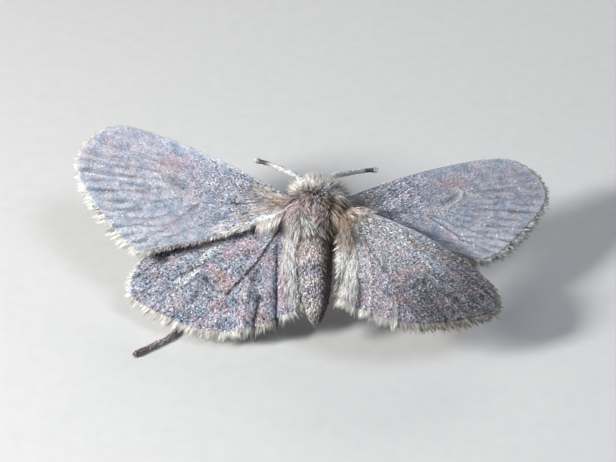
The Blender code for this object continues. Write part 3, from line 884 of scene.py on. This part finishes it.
HIND_CLOUDS = (
    (DARK, 0.55, 0.5, ((4.0, 2.6), (4.3, 3.9), (4.5, 5.4), (4.6, 6.6))),
    (DARK, 0.35, 0.5, ((6.9, 1.6), (8.4, 2.8), (9.6, 3.9))),
)
# The left hind wing: painted shade in the first vein's groove, and a painted shadow, tinted brown with ochre,
# under the forewing's edge.
LEFT_HIND_STROKES = (
    (DARK, 0.9, 0.075, HIND_VEINS[0]),
    (DARK, 0.9, 0.2, ((3.0, -1.3), (4.8, -1.1), (7.4, -1.25), (10.3, -1.75))),
    (OCHRE, 0.3, 0.2, ((3.0, -1.3), (4.8, -1.1), (7.4, -1.25), (10.3, -1.75))),
)


def wing_frame(wing):
    """The wing's root over the floor, and its span, chord and upward directions."""
    side, sweep = wing["side"], math.radians(wing["sweep"])
    turn = about("X", wing["pitch"]) @ about("Y", side * wing["droop"])
    span = turn @ (side * math.cos(sweep), math.sin(sweep), 0)
    chord = turn @ (side * math.sin(sweep), -math.cos(sweep), 0)
    half, forward, up = wing["root"]
    return body_point((side * half, forward, up)), span, chord, turn @ (0, 0, 1)


def wing_plan(plan, out, opened):
    """Millimetres out and back on the wing's plan, at shares out along it and round its fan."""
    inner, outer = np.array(plan["root"])
    root = inner * (1 - opened)[:, None] + outer * opened[:, None]
    place = root * (1 - out)[:, None] + spline(plan["margin"], opened) * out[:, None]
    bow = np.outer((1 - opened) ** 3, (0, plan["leading_bow"])) + np.outer(opened**3, plan["inner_bow"])
    return place + bow * np.sin(math.pi * out)[:, None]


def streaks(wing, out, opened):
    """Short ridges and troughs that run out to the margin between the veins: 1 on a ridge, -1 in a trough."""
    wander = 0.9 * np.sin(7 * out + 9 * opened) + 0.8 * np.sin(19 * out + 23 * opened)
    broken = 0.6 + 0.4 * np.sin(33 * out + 21 * opened)
    wave = np.sin(2 * math.pi * STREAK_COUNT * opened + wander) * ramp(out, 0.5, 0.75)
    if wing["plan"] is FOREWING:
        return wave * broken * (0.15 + 0.85 * ramp(opened, 0.2, 0.45))
    return 0.6 * wave * broken * ramp(opened, 0.55, 0.4)


def veins_near(wing, place, width):
    lines = FORE_VEINS if wing["plan"] is FOREWING else HIND_VEINS
    return np.max([near_line(place, line, width) for line in lines], axis=0)


def pleats(wing, place):
    """How far the hind wing's pleats stand over, or fall below, the wing's even surface."""
    rise = np.zeros(len(place))
    if wing["plan"] is HINDWING:
        depth_share = 1.0 if wing["side"] < 0 else 0.35
        for line, width, depth in HIND_PLEATS:
            opening = ramp(place[:, 1], line[0][1] - 0.1, line[-1][1] - 0.4)
            rise = rise - depth_share * depth * opening * near_line(place, line, width)
    return rise


def wing_surface(wing):
    """The wing's middle surface at shares out along it and round its fan, in millimetres."""
    plan = wing["plan"]
    base, span, chord, up = wing_frame(wing)

    def surface(out, fan):
        opened = fan * wing["open"]
        place = wing_plan(plan, out, opened)
        rise = plan["camber"] * np.sin(math.pi * out) * (1 - opened) ** 2
        rise = rise + plan["belly"] * np.sin(math.pi * out) * np.sin(math.pi * opened)
        vein_height = 0.02 + 0.03 * ramp(opened, 0.2, 0.5)
        rise = rise + pleats(wing, place) + vein_height * veins_near(wing, place, 0.14)
        rise = rise + STREAK_HEIGHT * streaks(wing, out, opened)
        return base + np.outer(place[:, 0], span) + np.outer(place[:, 1], chord) + np.outer(rise, up)

    return surface


def fringe_length(wing, fan):
    """How far the fringe reaches past the membrane: nothing on the leading edge, longest behind the tip."""
    if wing["plan"] is FOREWING:
        return 0.12 + 0.33 * ramp(fan, 0.06, 0.25) + 0.35 * ramp(fan, 0.42, 0.68)
    return 0.1 + 0.4 * ramp(fan, 0.04, 0.15) + 0.35 * ramp(fan, 0.2, 0.45)


def edge_share(wing, fan):
    """Where the membrane ends, as a share of the way out to the fringe's tips."""
    ray = np.linalg.norm(spline(wing["plan"]["margin"], fan * wing["open"]), axis=1)
    return 1 - fringe_length(wing, fan) * 1.05 / ray


def stroked(place, strokes):
    marks = np.zeros((4, len(place)))
    for mark, strength, width, line in strokes:
        marks[mark] += strength * near_line(place, line, width)
    return marks


def fore_marks(place, out, fan, opened, broken, grains, vein):
    """The forewing: a cream bar at the end of the cell, a dark hollow in it, and brown at the root."""
    beyond = near_line(place, ((9.0, -0.2), (9.9, 0.6), (10.8, 1.1)), 0.3)
    closure = np.maximum(near_line(place, FORE_VEINS[1], 0.28), 0.8 * beyond) * broken
    hollow = broken * near_line(place, ((7.4, 1.0), (8.1, 0.8), (8.7, 0.4)), 0.27)
    root = ramp(out, 0.3, 0.12)
    more = (
        0.85 * closure
        + 0.35 * ramp(out, 0.92, 0.97)
        + 0.3 * bump(fan, 0.02, 0.03)
        + 0.3 * bump(fan, 0.78, 0.13) * ramp(out, 0.5, 0.75)
        + 0.4 * root * ramp(fan, 0.6, 0.85),
        0.2 * bump(fan, 0.3, 0.16) * ramp(out, 0.15, 0.4),
        0.6 * hollow
        + vein * (0.05 + 0.3 * ramp(opened, 0.2, 0.5)) * (1 - closure)
        + 0.35 * ramp(fan, 0.9, 0.97) * ramp(out, 0.25, 0.5)
        + 0.35 * grains * ramp(out, 0.6, 0.3)
        + 0.35 * ramp(out, 0.3, 0.1) * ramp(fan, 0.9, 0.6),
        0.25 * closure
        + 0.4 * ramp(out, 0.08, 0.03) * bump(fan, 0.5, 0.2)
        + 0.12 * root * bump(fan, 0.4, 0.3)
        + 0.15 * bump(fan, 0.1, 0.05) * ramp(out, 0.6, 0.2),
    )
    return stroked(place, FORE_STROKES) + more


def inner_edge(out, fan):
    return ramp(fan, 0.6 + 0.3 * out, 0.72 + 0.25 * out) * ramp(out, 1.0, 0.9)


def hind_marks(wing, place, out, fan, broken, grains, vein):
    """The hind wing: a cream band on its leading edge, pink folds, painted shade in the deep pleats and a
    pale inner edge.
    """
    marks = stroked(place, HIND_STROKES) + broken * stroked(place, HIND_CLOUDS)
    pale, _, dark, ochre = marks
    pale += 0.45 * ramp(out, 0.94, 0.985)
    dark += 0.5 * grains + 0.4 * vein
    # Painted shade along the valleys of the two deepest pleats.
    for line, width, _ in HIND_PLEATS[:2]:
        dark += near_line(place, line, width * 0.7) * ramp(place[:, 1], line[0][1] - 0.1, line[0][1] + 0.9)
    ochre += 0.4 * ramp(out, 0.09, 0.03) * bump(fan, 0.6, 0.2)
    if wing["side"] < 0:
        pale += 0.9 * inner_edge(out, fan) + 0.6 * ramp(out, 0.22, 0.06)
        # Painted shade in the gap between the white hair band and the abdomen.
        dark += 0.85 * ramp(fan, 0.93, 0.96) * ramp(out, 0.12, 0.3)
        return marks + stroked(place, LEFT_HIND_STROKES)
    return marks


def right_hind_marks(marks, place, out, fan, opened, broken):
    """The right hind wing: a cream first vein painted as the highlight on its lit ridge, broad pink folds, an
    ochre patch, brown root hair, painted light near the body, and an outer part that is partly brown and
    partly painted shade.
    """
    pale, pink, dark, ochre = marks
    # Painted highlight: the first vein is cream where its ridge catches the light.
    first = near_line(place, ((1.6, 1.2), (4.2, 1.6), (7.6, 3.4), (9.4, 4.2)), 0.13)
    second = near_line(place, ((4.2, 1.6), (7.4, 1.2), (9.5, 1.2)), 0.11)
    folds = near_line(place, ((2.4, 2.1), (5.0, 4.6), (6.4, 6.0)), 0.35)
    folds = np.minimum(folds + near_line(place, ((3.6, 2.6), (4.8, 3.8), (6.9, 5.4)), 0.42), 1)
    # Painted light near the body, and painted shade on the outer part, which is also browner in its own
    # colour.
    lit = ramp(out, 0.8, 0.25)
    root_hair = ramp(fan, 0.62, 0.75) * ramp(out, 0.45, 0.25)
    dark = dark * (0.6 - 0.4 * lit) + 0.6 * ramp(out, 0.45, 0.8) * ramp(opened, 0.65, 0.4) + 0.6 * root_hair
    pale = pale * 0.5 + 0.8 * inner_edge(out, fan) * (1 - root_hair) + 0.9 * first * broken + 0.5 * lit
    patch = near_line(place, ((4.7, -0.9), (6.6, -1.1), (7.8, -1.6)), 0.35)
    ochre = ochre * 0.5 + 0.45 * patch + 0.3 * (first + second)
    ochre = ochre + 0.35 * ramp(out, 0.18, 0.06) + 0.2 * root_hair
    pink = pink + 1.2 * folds + 0.6 * near_line(place, ((6.3, 0.4), (6.7, 0.9)), 0.4)
    return pale * (1 - 0.3 * folds) + 0.4 * folds, pink, dark * (1 - 0.8 * folds), ochre


def wing_marks(wing, out, fan):
    """Markings of a wing at shares of it, with painted light and shade: pale, pink, dark, ochre."""
    opened = fan * wing["open"]
    place = wing_plan(wing["plan"], out, opened)
    cloud = np.maximum(soft_noise(place, 1.3, 22), 0)
    broken = 0.65 + 0.35 * soft_noise(place, 0.35, 25)
    grains = np.maximum(soft_noise(place, 0.17, 26), 0)
    ridge = streaks(wing, out, opened) * ramp(out, 0.99, 0.9)
    vein = veins_near(wing, place, 0.055) * ramp(out, 0.99, 0.93)
    # Painted light over the streaks' real relief: pale or pink on the ridges as highlight, dark in the
    # troughs as shade.
    ridges, troughs = np.maximum(ridge, 0), np.maximum(-ridge, 0)
    if wing["plan"] is FOREWING:
        pale, pink, dark, ochre = fore_marks(place, out, fan, opened, broken, grains, vein)
        pale, pink, dark = pale + 0.25 * ridges, pink + 0.3 * cloud, dark + 0.5 * troughs
    else:
        pale, pink, dark, ochre = hind_marks(wing, place, out, fan, broken, grains, vein)
        pink, dark = pink + 0.7 * cloud + 0.3 * ridges, dark + 0.4 * troughs
        if wing["side"] > 0:
            marks = right_hind_marks((pale, pink, dark, ochre), place, out, fan, opened, broken)
            pale, pink, dark, ochre = marks
    speckle = soft_noise(place, 0.45, 21)
    return np.clip(np.stack((pale + 0.08 * speckle, pink + 0.1 * speckle, dark, ochre), axis=1), 0, 1)


def wing_unwrap(wing, out, fan):
    """A place on the wing's own flat plan, scaled into the unit square."""
    margin = np.array(wing["plan"]["margin"])
    place = wing_plan(wing["plan"], out, fan * wing["open"])
    low, high = margin.min(axis=0) * (0, 1) - (0.6, 0.9), margin.max(axis=0) + (0.2, 0.6)
    return np.clip((place - low) / (high - low), 0, 1)


def wing_lie(wing, out, fan):
    """As lie_of, with the normal towards the wing's upper face."""
    at, normal, along, across = lie_of(wing_surface(wing), out, fan)
    return at, normal * np.sign(normal @ wing_frame(wing)[3])[:, None], along, across


def wing_roots(wing, out, fan, lift=0.0, outward=1, flow=(1, 0)):
    """Places on the wing's upper face (outward 1) or under face (-1); flow is the way out and round it."""
    at, normal, along, across = wing_lie(wing, out, fan)
    normal = normal * outward
    at = at + normal * (MEMBRANE_THICKNESS / 2 + lift)
    lie = along * flow[0] + across * flow[1]
    return rooted(at, lie, normal, wing_unwrap(wing, out, fan), wing_marks(wing, out, fan))


def membrane(wing):
    """The wing's thin sheet: an upper and a lower face, joined round its edge."""
    along, across = MEMBRANE_SQUARES
    out, fan = np.linspace(0, 1, along + 1), np.linspace(*FAN_ENDS, across + 1)
    out, fan = (a.ravel() for a in np.meshgrid(out, fan, indexing="ij"))
    out = out * edge_share(wing, fan)
    at, normal, _, _ = wing_lie(wing, out, fan)
    veins = veins_near(wing, wing_plan(wing["plan"], out, fan * wing["open"]), 0.1)
    half = (MEMBRANE_THICKNESS / 2 + 0.1 * bump(fan, 0.0, 0.02) + 0.02 * veins)[:, None]
    count, row = len(at), across + 1
    _, _, (a, b, c, d) = grid(along, across, row)
    sheet = np.concatenate((np.stack((a, b, c), axis=1), np.stack((a, c, d), axis=1)))
    rim = np.concatenate(
        (
            np.arange(row),
            np.arange(1, along + 1) * row + across,
            along * row + np.arange(across - 1, -1, -1),
            np.arange(along - 1, 0, -1) * row,
        )
    )
    after = np.roll(rim, -1)
    if wing["side"] < 0:
        sheet = sheet[:, ::-1]
    else:
        rim, after = after, rim
    wall = np.array(((rim, after, after + count), (rim, after + count, rim + count)))
    wall = wall.transpose(0, 2, 1).reshape(-1, 3)
    # The upper face and the rim take the unwrap's left half, and the lower face its right half.
    unwrap = wing_unwrap(wing, out, fan) * (0.49, 1)
    unwrap = np.concatenate((unwrap[sheet], unwrap[sheet[:, ::-1]] + (0.51, 0), unwrap[wall % count]))
    points = np.vstack((at + normal * half, at - normal * half))
    faces = np.concatenate((sheet, sheet[:, ::-1] + count, wall))
    return mapped(points, faces, unwrap.reshape(-1, 2), np.tile(wing_marks(wing, out, fan), (2, 1)))


def scale_rows(wing, rows, spacing, first_fan=0.006, last_fan=0.965):
    """Staggered rows of places across the wing, evenly spaced in millimetres along each row."""
    surface = wing_surface(wing)
    fan_line = np.linspace(first_fan, last_fan, 160)
    outs, fans = [], []
    for row in range(rows):
        share = 0.03 + 0.955 * (row + 0.5) / rows
        length = walked(surface(share * edge_share(wing, fan_line), fan_line))
        count = max(2, int(length[-1] / spacing))
        where = (np.arange(count) + 0.25 + 0.5 * (row % 2) + dice.uniform(-0.3, 0.3, count)) / count
        fan = np.interp(np.clip(where, 0, 1) * length[-1], length, fan_line)
        outs.append((share + dice.uniform(-0.4, 0.4, count) * 0.955 / rows) * edge_share(wing, fan))
        fans.append(fan)
    return np.concatenate(outs), np.concatenate(fans)


def fringe_roots(wing, count):
    """Places round the outer margin, lying nearly square to it, and the fringe's length there."""
    fan = dice.uniform(0.03, 0.975, count)
    roots = wing_roots(wing, edge_share(wing, fan) * dice.uniform(0.955, 0.996, count), fan, -0.02)
    surface, rim = wing_surface(wing), np.ones(count)
    tangent = unit(surface(rim, fan + 0.01) - surface(rim, fan - 0.01))
    square = np.cross(tangent, roots["normal"])
    square = square * np.sign(np.sum(square * roots["flow"], axis=1, keepdims=True))
    roots["flow"] = unit(0.35 * roots["flow"] + 0.65 * square)
    roots["marks"][:, 0] = np.maximum(roots["marks"][:, 0], 0.6)
    return roots, fringe_length(wing, fan)


# Three layers of fringe, from the longest to the shortest: how many, reach, width, and hairs per lock.
FRINGE_LAYERS = ((2200, 1.12, 0.05, 7), (1700, 0.85, 0.055, 5), (1200, 0.6, 0.065, 4))

for name, wing in WINGS.items():
    forewing = wing["plan"] is FOREWING
    make_piece(name + "_membrane", membrane(wing), membrane_finish, (name,))
    out, fan = scale_rows(wing, 150 if forewing else 138, 0.074)
    size = dice.uniform(0.8, 1.25, len(out))
    # The forewing's outer scales lie flat and even; the hind wing's are looser.
    calm = ramp(out, 0.25, 0.6) if forewing else 0 * out
    uneven, tone_range = 0.15 - 0.08 * calm, 1.0 - 0.5 * calm
    upper = wing_roots(wing, out, fan)
    coat = scales(upper, 0.2 * size, 0.105 * size, uneven=uneven, tone_range=tone_range, painted_glints=0.006)
    make_piece(name + "_scales", coat, wing_scale)
    under = wing_roots(wing, *scale_rows(wing, 58, 0.19, first_fan=0.03, last_fan=0.95), outward=-1)
    make_piece(name + "_under_scales", scales(under, 0.38, 0.21, lift=0.1), wing_scale)
    layers = []
    for count, reach, width, per_lock in FRINGE_LAYERS:
        roots, length = fringe_roots(wing, count)
        length = length * reach * dice.uniform(0.85, 1.08, count)
        layers.append(tufts(roots, length, width, 0.06, 0.05, curl=0.03, per_lock=per_lock, pull=0.5))
    make_piece(name + "_fringe", joined(*layers), fringe_hair)

# Long hair on the wings: share out, shares of the fan at the inner and the outer end, how many, length,
# width, lift, and the way it lies (out, round).
HAIR_BANDS = {
    "forewing_left": (
        ((0.0, 0.16), (0.1, 0.97), (0.1, 0.97), 1500, 0.95, 0.045, 0.25, (1.0, 0.1)),
        ((0.05, 0.4), (0.6, 0.96), (0.8, 0.96), 1100, 1.2, 0.045, 0.2, (1.0, 0.2)),
        ((0.02, 0.2), (0.75, 0.965), (0.85, 0.965), 1000, 1.25, 0.045, 0.3, (0.6, 0.8)),
        ((0.25, 0.95), (0.9, 0.965), (0.9, 0.965), 1100, 0.55, 0.045, 0.1, (0.8, 0.7)),
    ),
    "forewing_right": (
        ((0.0, 0.16), (0.15, 0.97), (0.15, 0.97), 1200, 0.95, 0.045, 0.25, (1.0, 0.1)),
        ((0.25, 0.95), (0.9, 0.965), (0.9, 0.965), 900, 0.55, 0.045, 0.1, (0.8, 0.7)),
    ),
    "hindwing_left": (
        ((0.0, 0.16), (0.03, 0.97), (0.03, 0.97), 1300, 1.0, 0.045, 0.3, (1.0, 0.0)),
        ((0.03, 0.5), (0.08, 0.24), (0.14, 0.26), 1300, 1.2, 0.045, 0.25, (1.0, 0.03)),
        ((0.06, 0.9), (0.66, 0.86), (0.84, 0.93), 3800, 1.15, 0.045, 0.3, (1.0, 0.1)),
        ((0.1, 0.9), (0.86, 0.95), (0.91, 0.95), 900, 0.9, 0.04, 0.25, (1.0, 0.3)),
    ),
    "hindwing_right": (
        ((0.0, 0.16), (0.03, 0.97), (0.03, 0.97), 1300, 0.9, 0.045, 0.3, (1.0, 0.0)),
        ((0.0, 0.14), (0.0, 0.08), (0.0, 0.06), 350, 0.8, 0.045, 0.3, (0.8, -0.7)),
        ((0.03, 0.93), (0.78, 0.97), (0.88, 0.975), 3900, 1.2, 0.045, 0.3, (1.0, 0.12)),
        ((0.25, 0.93), (0.92, 0.97), (0.93, 0.975), 1200, 1.0, 0.04, 0.25, (0.8, 0.5)),
    ),
}
for name, bands in HAIR_BANDS.items():
    wing = WINGS[name]
    coats = []
    for outs, inner, outer, count, length, width, lift, way in bands:
        out, across = dice.uniform(*outs, count), dice.random(count)
        slant = (out - outs[0]) / (outs[1] - outs[0])
        near, far = (low + (high - low) * across for low, high in (inner, outer))
        fan = near * (1 - slant) + far * slant
        roots = wing_roots(wing, out * edge_share(wing, fan), fan, flow=way)
        length = length * dice.uniform(0.65, 1.2, count) * (1 - 0.35 * out)
        coats.append(tufts(roots, length, width, lift, lift * 0.8, curl=0.1, per_lock=7, pull=0.5))
    make_piece(name + "_hair", joined(*coats), body_hair)

# ------------------------------------------------------------------ feelers and legs


def tube_surface(line, radii):
    """A round limb along a line of many close points, at shares from 0 to 1 along it and once round."""
    share = np.linspace(0, 1, len(line))
    ahead = unit(np.gradient(line, axis=0))
    side = unit(np.cross(ahead, (0.05, 0.1, 1.0)))
    up = np.cross(side, ahead)

    def surface(u, v):
        angle = (2 * math.pi * v)[:, None]
        ring = np.cos(angle) * read_line(u, share, side) + np.sin(angle) * read_line(u, share, up)
        return read_line(u, share, line) + np.interp(u, share, radii)[:, None] * ring

    return surface


def limb_roots(surface, line, u, v, marking):
    at, _, along, _ = lie_of(surface, u, v)
    normal = unit(at - read_line(u, np.linspace(0, 1, len(line)), line))
    return rooted(at, along, normal, np.stack((v, u), axis=1), marking(at))


def share_on(line, points):
    """How far along the line the nearest place to each point is, as a share."""
    return np.array([np.argmin(((line - point) ** 2).sum(axis=1)) for point in points]) / (len(line) - 1)


for name, points in FEELERS.items():
    share = np.linspace(0, 1, 400)
    line = body_point(spline(points, share))
    line = read_line(share * walked(line)[-1], walked(line), line)
    beads = 1 + 0.16 * np.cos(2 * math.pi * FEELER_RINGS * share)
    radii = FEELER_RADIUS * beads * (1.05 - 0.35 * ramp(share, 0.45, 0.8))
    radii = radii * (1 + 0.6 * bump(share, 0.96, 0.035))
    radii = radii * np.sqrt(np.clip((1.003 - share) / 0.012, 0.02, 1))
    surface = tube_surface(line, radii)

    def feeler_marks(points):
        share = share_on(line, points)
        dark = 0.8 * ramp(share, 0.74, 0.82) * ramp(share, 0.935, 0.905)
        pale = 0.8 * (1 - ramp(share, 0.7, 0.78)) + 0.5 * ramp(share, 0.91, 0.94)
        return np.stack((pale, 0 * share, dark, 0 * share), axis=1)

    make_piece(name + "_shaft", skin_tube(surface, 264, 16, feeler_marks), cuticle, (name,))
    count = 2600
    u = (np.floor(dice.uniform(0, FEELER_RINGS, count)) + 0.15 + 0.2 * dice.random(count)) / FEELER_RINGS
    roots = limb_roots(surface, line, np.clip(u, 0, 0.985), dice.random(count), feeler_marks)
    make_piece(name + "_scales", scales(roots, 0.12, 0.055, lift=0.25), feeler_scale)

for name, (side, joints) in LEGS.items():
    joints = np.array(joints) * (side, 1, 1) + THORAX_CENTRE * (1, 1, 0)
    length = walked(joints)[-1]
    knees = walked(joints) / length
    share = np.linspace(0, 1, 500)
    line = read_line(share, knees, joints)
    for _ in range(60):
        line[1:-1] = (line[:-2] + line[1:-1] * 2 + line[2:]) / 4
    foot = ramp(share, knees[2] - 0.01, knees[3])
    thigh = 1 - ramp(share, knees[1] - 0.03, knees[1] + 0.03)
    radii = THIGH_RADIUS * thigh + SHIN_RADIUS * (1 - thigh) * (1 - foot) + FOOT_RADIUS * foot
    waist = 0.22 * bump(share, knees[1], 0.4 / length) + 0.15 * bump(share, knees[2], 0.3 / length)
    radii = radii * (1 - waist)
    # Five foot joints, each a little waisted.
    toes = (share - knees[2]) / (1 - knees[2]) * 5
    radii = radii * (1 - 0.13 * foot * np.maximum(0, np.cos(2 * math.pi * toes)) ** 6)
    radii = radii * np.sqrt(np.clip((1.004 - share) / 0.012, 0.02, 1))
    line[:, 2] = np.maximum(line[:, 2], radii)
    surface = tube_surface(line, radii)

    def leg_marks(points):
        share = share_on(line, points)
        speckle = soft_noise(points, 0.11, 41)
        tip = ramp(share * length, length - 1.5, length - 0.9)
        dark = (0.05 + 0.6 * ramp(speckle, 0.1, 0.5)) * (1 - tip) + 0.7 * tip
        pale = 0.8 * ramp(-speckle, 0.05, 0.5) * (1 - tip)
        return np.stack((pale, 0.4 + 0 * share, dark, 0.4 * tip), axis=1)

    def standing(coat, lowest):
        coat["points"][:, 2] = np.maximum(coat["points"][:, 2], lowest)
        return coat

    limb = standing(skin_tube(surface, 180, 18, leg_marks), 0.0)
    make_piece(name + "_limb", limb, cuticle, (name,))
    count = int(210 * length)
    roots = limb_roots(surface, line, dice.uniform(0.01, 0.995, count), dice.random(count), leg_marks)
    coat = scales(roots, 0.16, 0.065, lift=0.12)
    # A sparse fringe of hair on the thigh and shin, and the shin's spurs.
    roots = limb_roots(surface, line, dice.uniform(0.02, knees[2], 260), dice.random(260), leg_marks)
    hair = tufts(roots, 0.32, 0.035, 0.5, 0.25)
    u = np.repeat((knees[2] - 0.01, knees[1] + 0.6 * (knees[2] - knees[1])), 2)
    roots = limb_roots(surface, line, u, np.array((0.05, 0.45, 0.05, 0.45)), leg_marks)
    roots["marks"] = roots["marks"] * (1, 1, 0.6, 1)
    spurs = tufts(roots, 0.6, 0.11, 0.35, 0.1, rings=4, curl=0.0)
    make_piece(name + "_coat", standing(joined(coat, hair, spurs), 0.004), leg_scale)
    roots = limb_roots(surface, line, np.full(2, 0.985), np.array((0.03, 0.47)), leg_marks)
    claws = tufts({**roots, "marks": np.zeros((2, 4))}, 0.3, 0.09, 0.25, 0.7, rings=6, curl=0.0)
    make_piece(name + "_claws", standing(claws, 0.0), claw_horn)

# ------------------------------------------------------------------ floor, light and camera

bpy.ops.mesh.primitive_plane_add(size=1.2, location=(0, 0, 0))
floor = bpy.context.object
floor.name = "floor"
floor.data.materials.append(board)

LAMPS_AIM = Vector((0.0, 0.0, 0.006))


def lamp(name, place, size, power, tint):
    data = bpy.data.lights.new(name, "AREA")
    data.shape = "DISK"
    data.size = size
    data.energy = power
    data.color = colour(tint)[:3]
    light = bpy.data.objects.new(name, data)
    light.location = place
    light.rotation_euler = (LAMPS_AIM - Vector(place)).to_track_quat("-Z", "Y").to_euler()
    bpy.context.scene.collection.objects.link(light)


lamp("key", (-0.165, -0.075, 0.1), 0.05, 0.68, "#fffdf9")
lamp("fill", (0.1, -0.08, 0.21), 0.1, 0.18, "#eef4ff")
lamp("front", (0.06, 0.2, 0.12), 0.12, 0.14, "#fffaf4")

world = bpy.data.worlds.new("studio")
world.use_nodes = True
world.node_tree.nodes["Background"].inputs["Color"].default_value = colour("#dfe5ee")
world.node_tree.nodes["Background"].inputs["Strength"].default_value = 0.12
bpy.context.scene.world = world
bpy.context.scene.view_settings.view_transform = "Standard"

# The camera looks level along the body from behind and above.
VIEW_DOWN = math.radians(36)
VIEW_DISTANCE = 115.0
ahead = np.array((0, math.cos(VIEW_DOWN), -math.sin(VIEW_DOWN)))
upward = np.array((0, math.sin(VIEW_DOWN), math.cos(VIEW_DOWN)))
aim = THORAX_CENTRE - 0.493 * np.array((1, 0, 0)) - 1.268 * upward
camera_data = bpy.data.cameras.new("camera")
camera_data.lens = 95.4
camera_data.sensor_width = 36.0
camera_data.clip_start = 0.001
camera = bpy.data.objects.new("camera", camera_data)
camera.location = Vector((aim - VIEW_DISTANCE * ahead) * 0.001)
camera.rotation_euler = Vector(ahead).to_track_quat("-Z", "Y").to_euler()
bpy.context.scene.collection.objects.link(camera)
bpy.context.scene.camera = camera
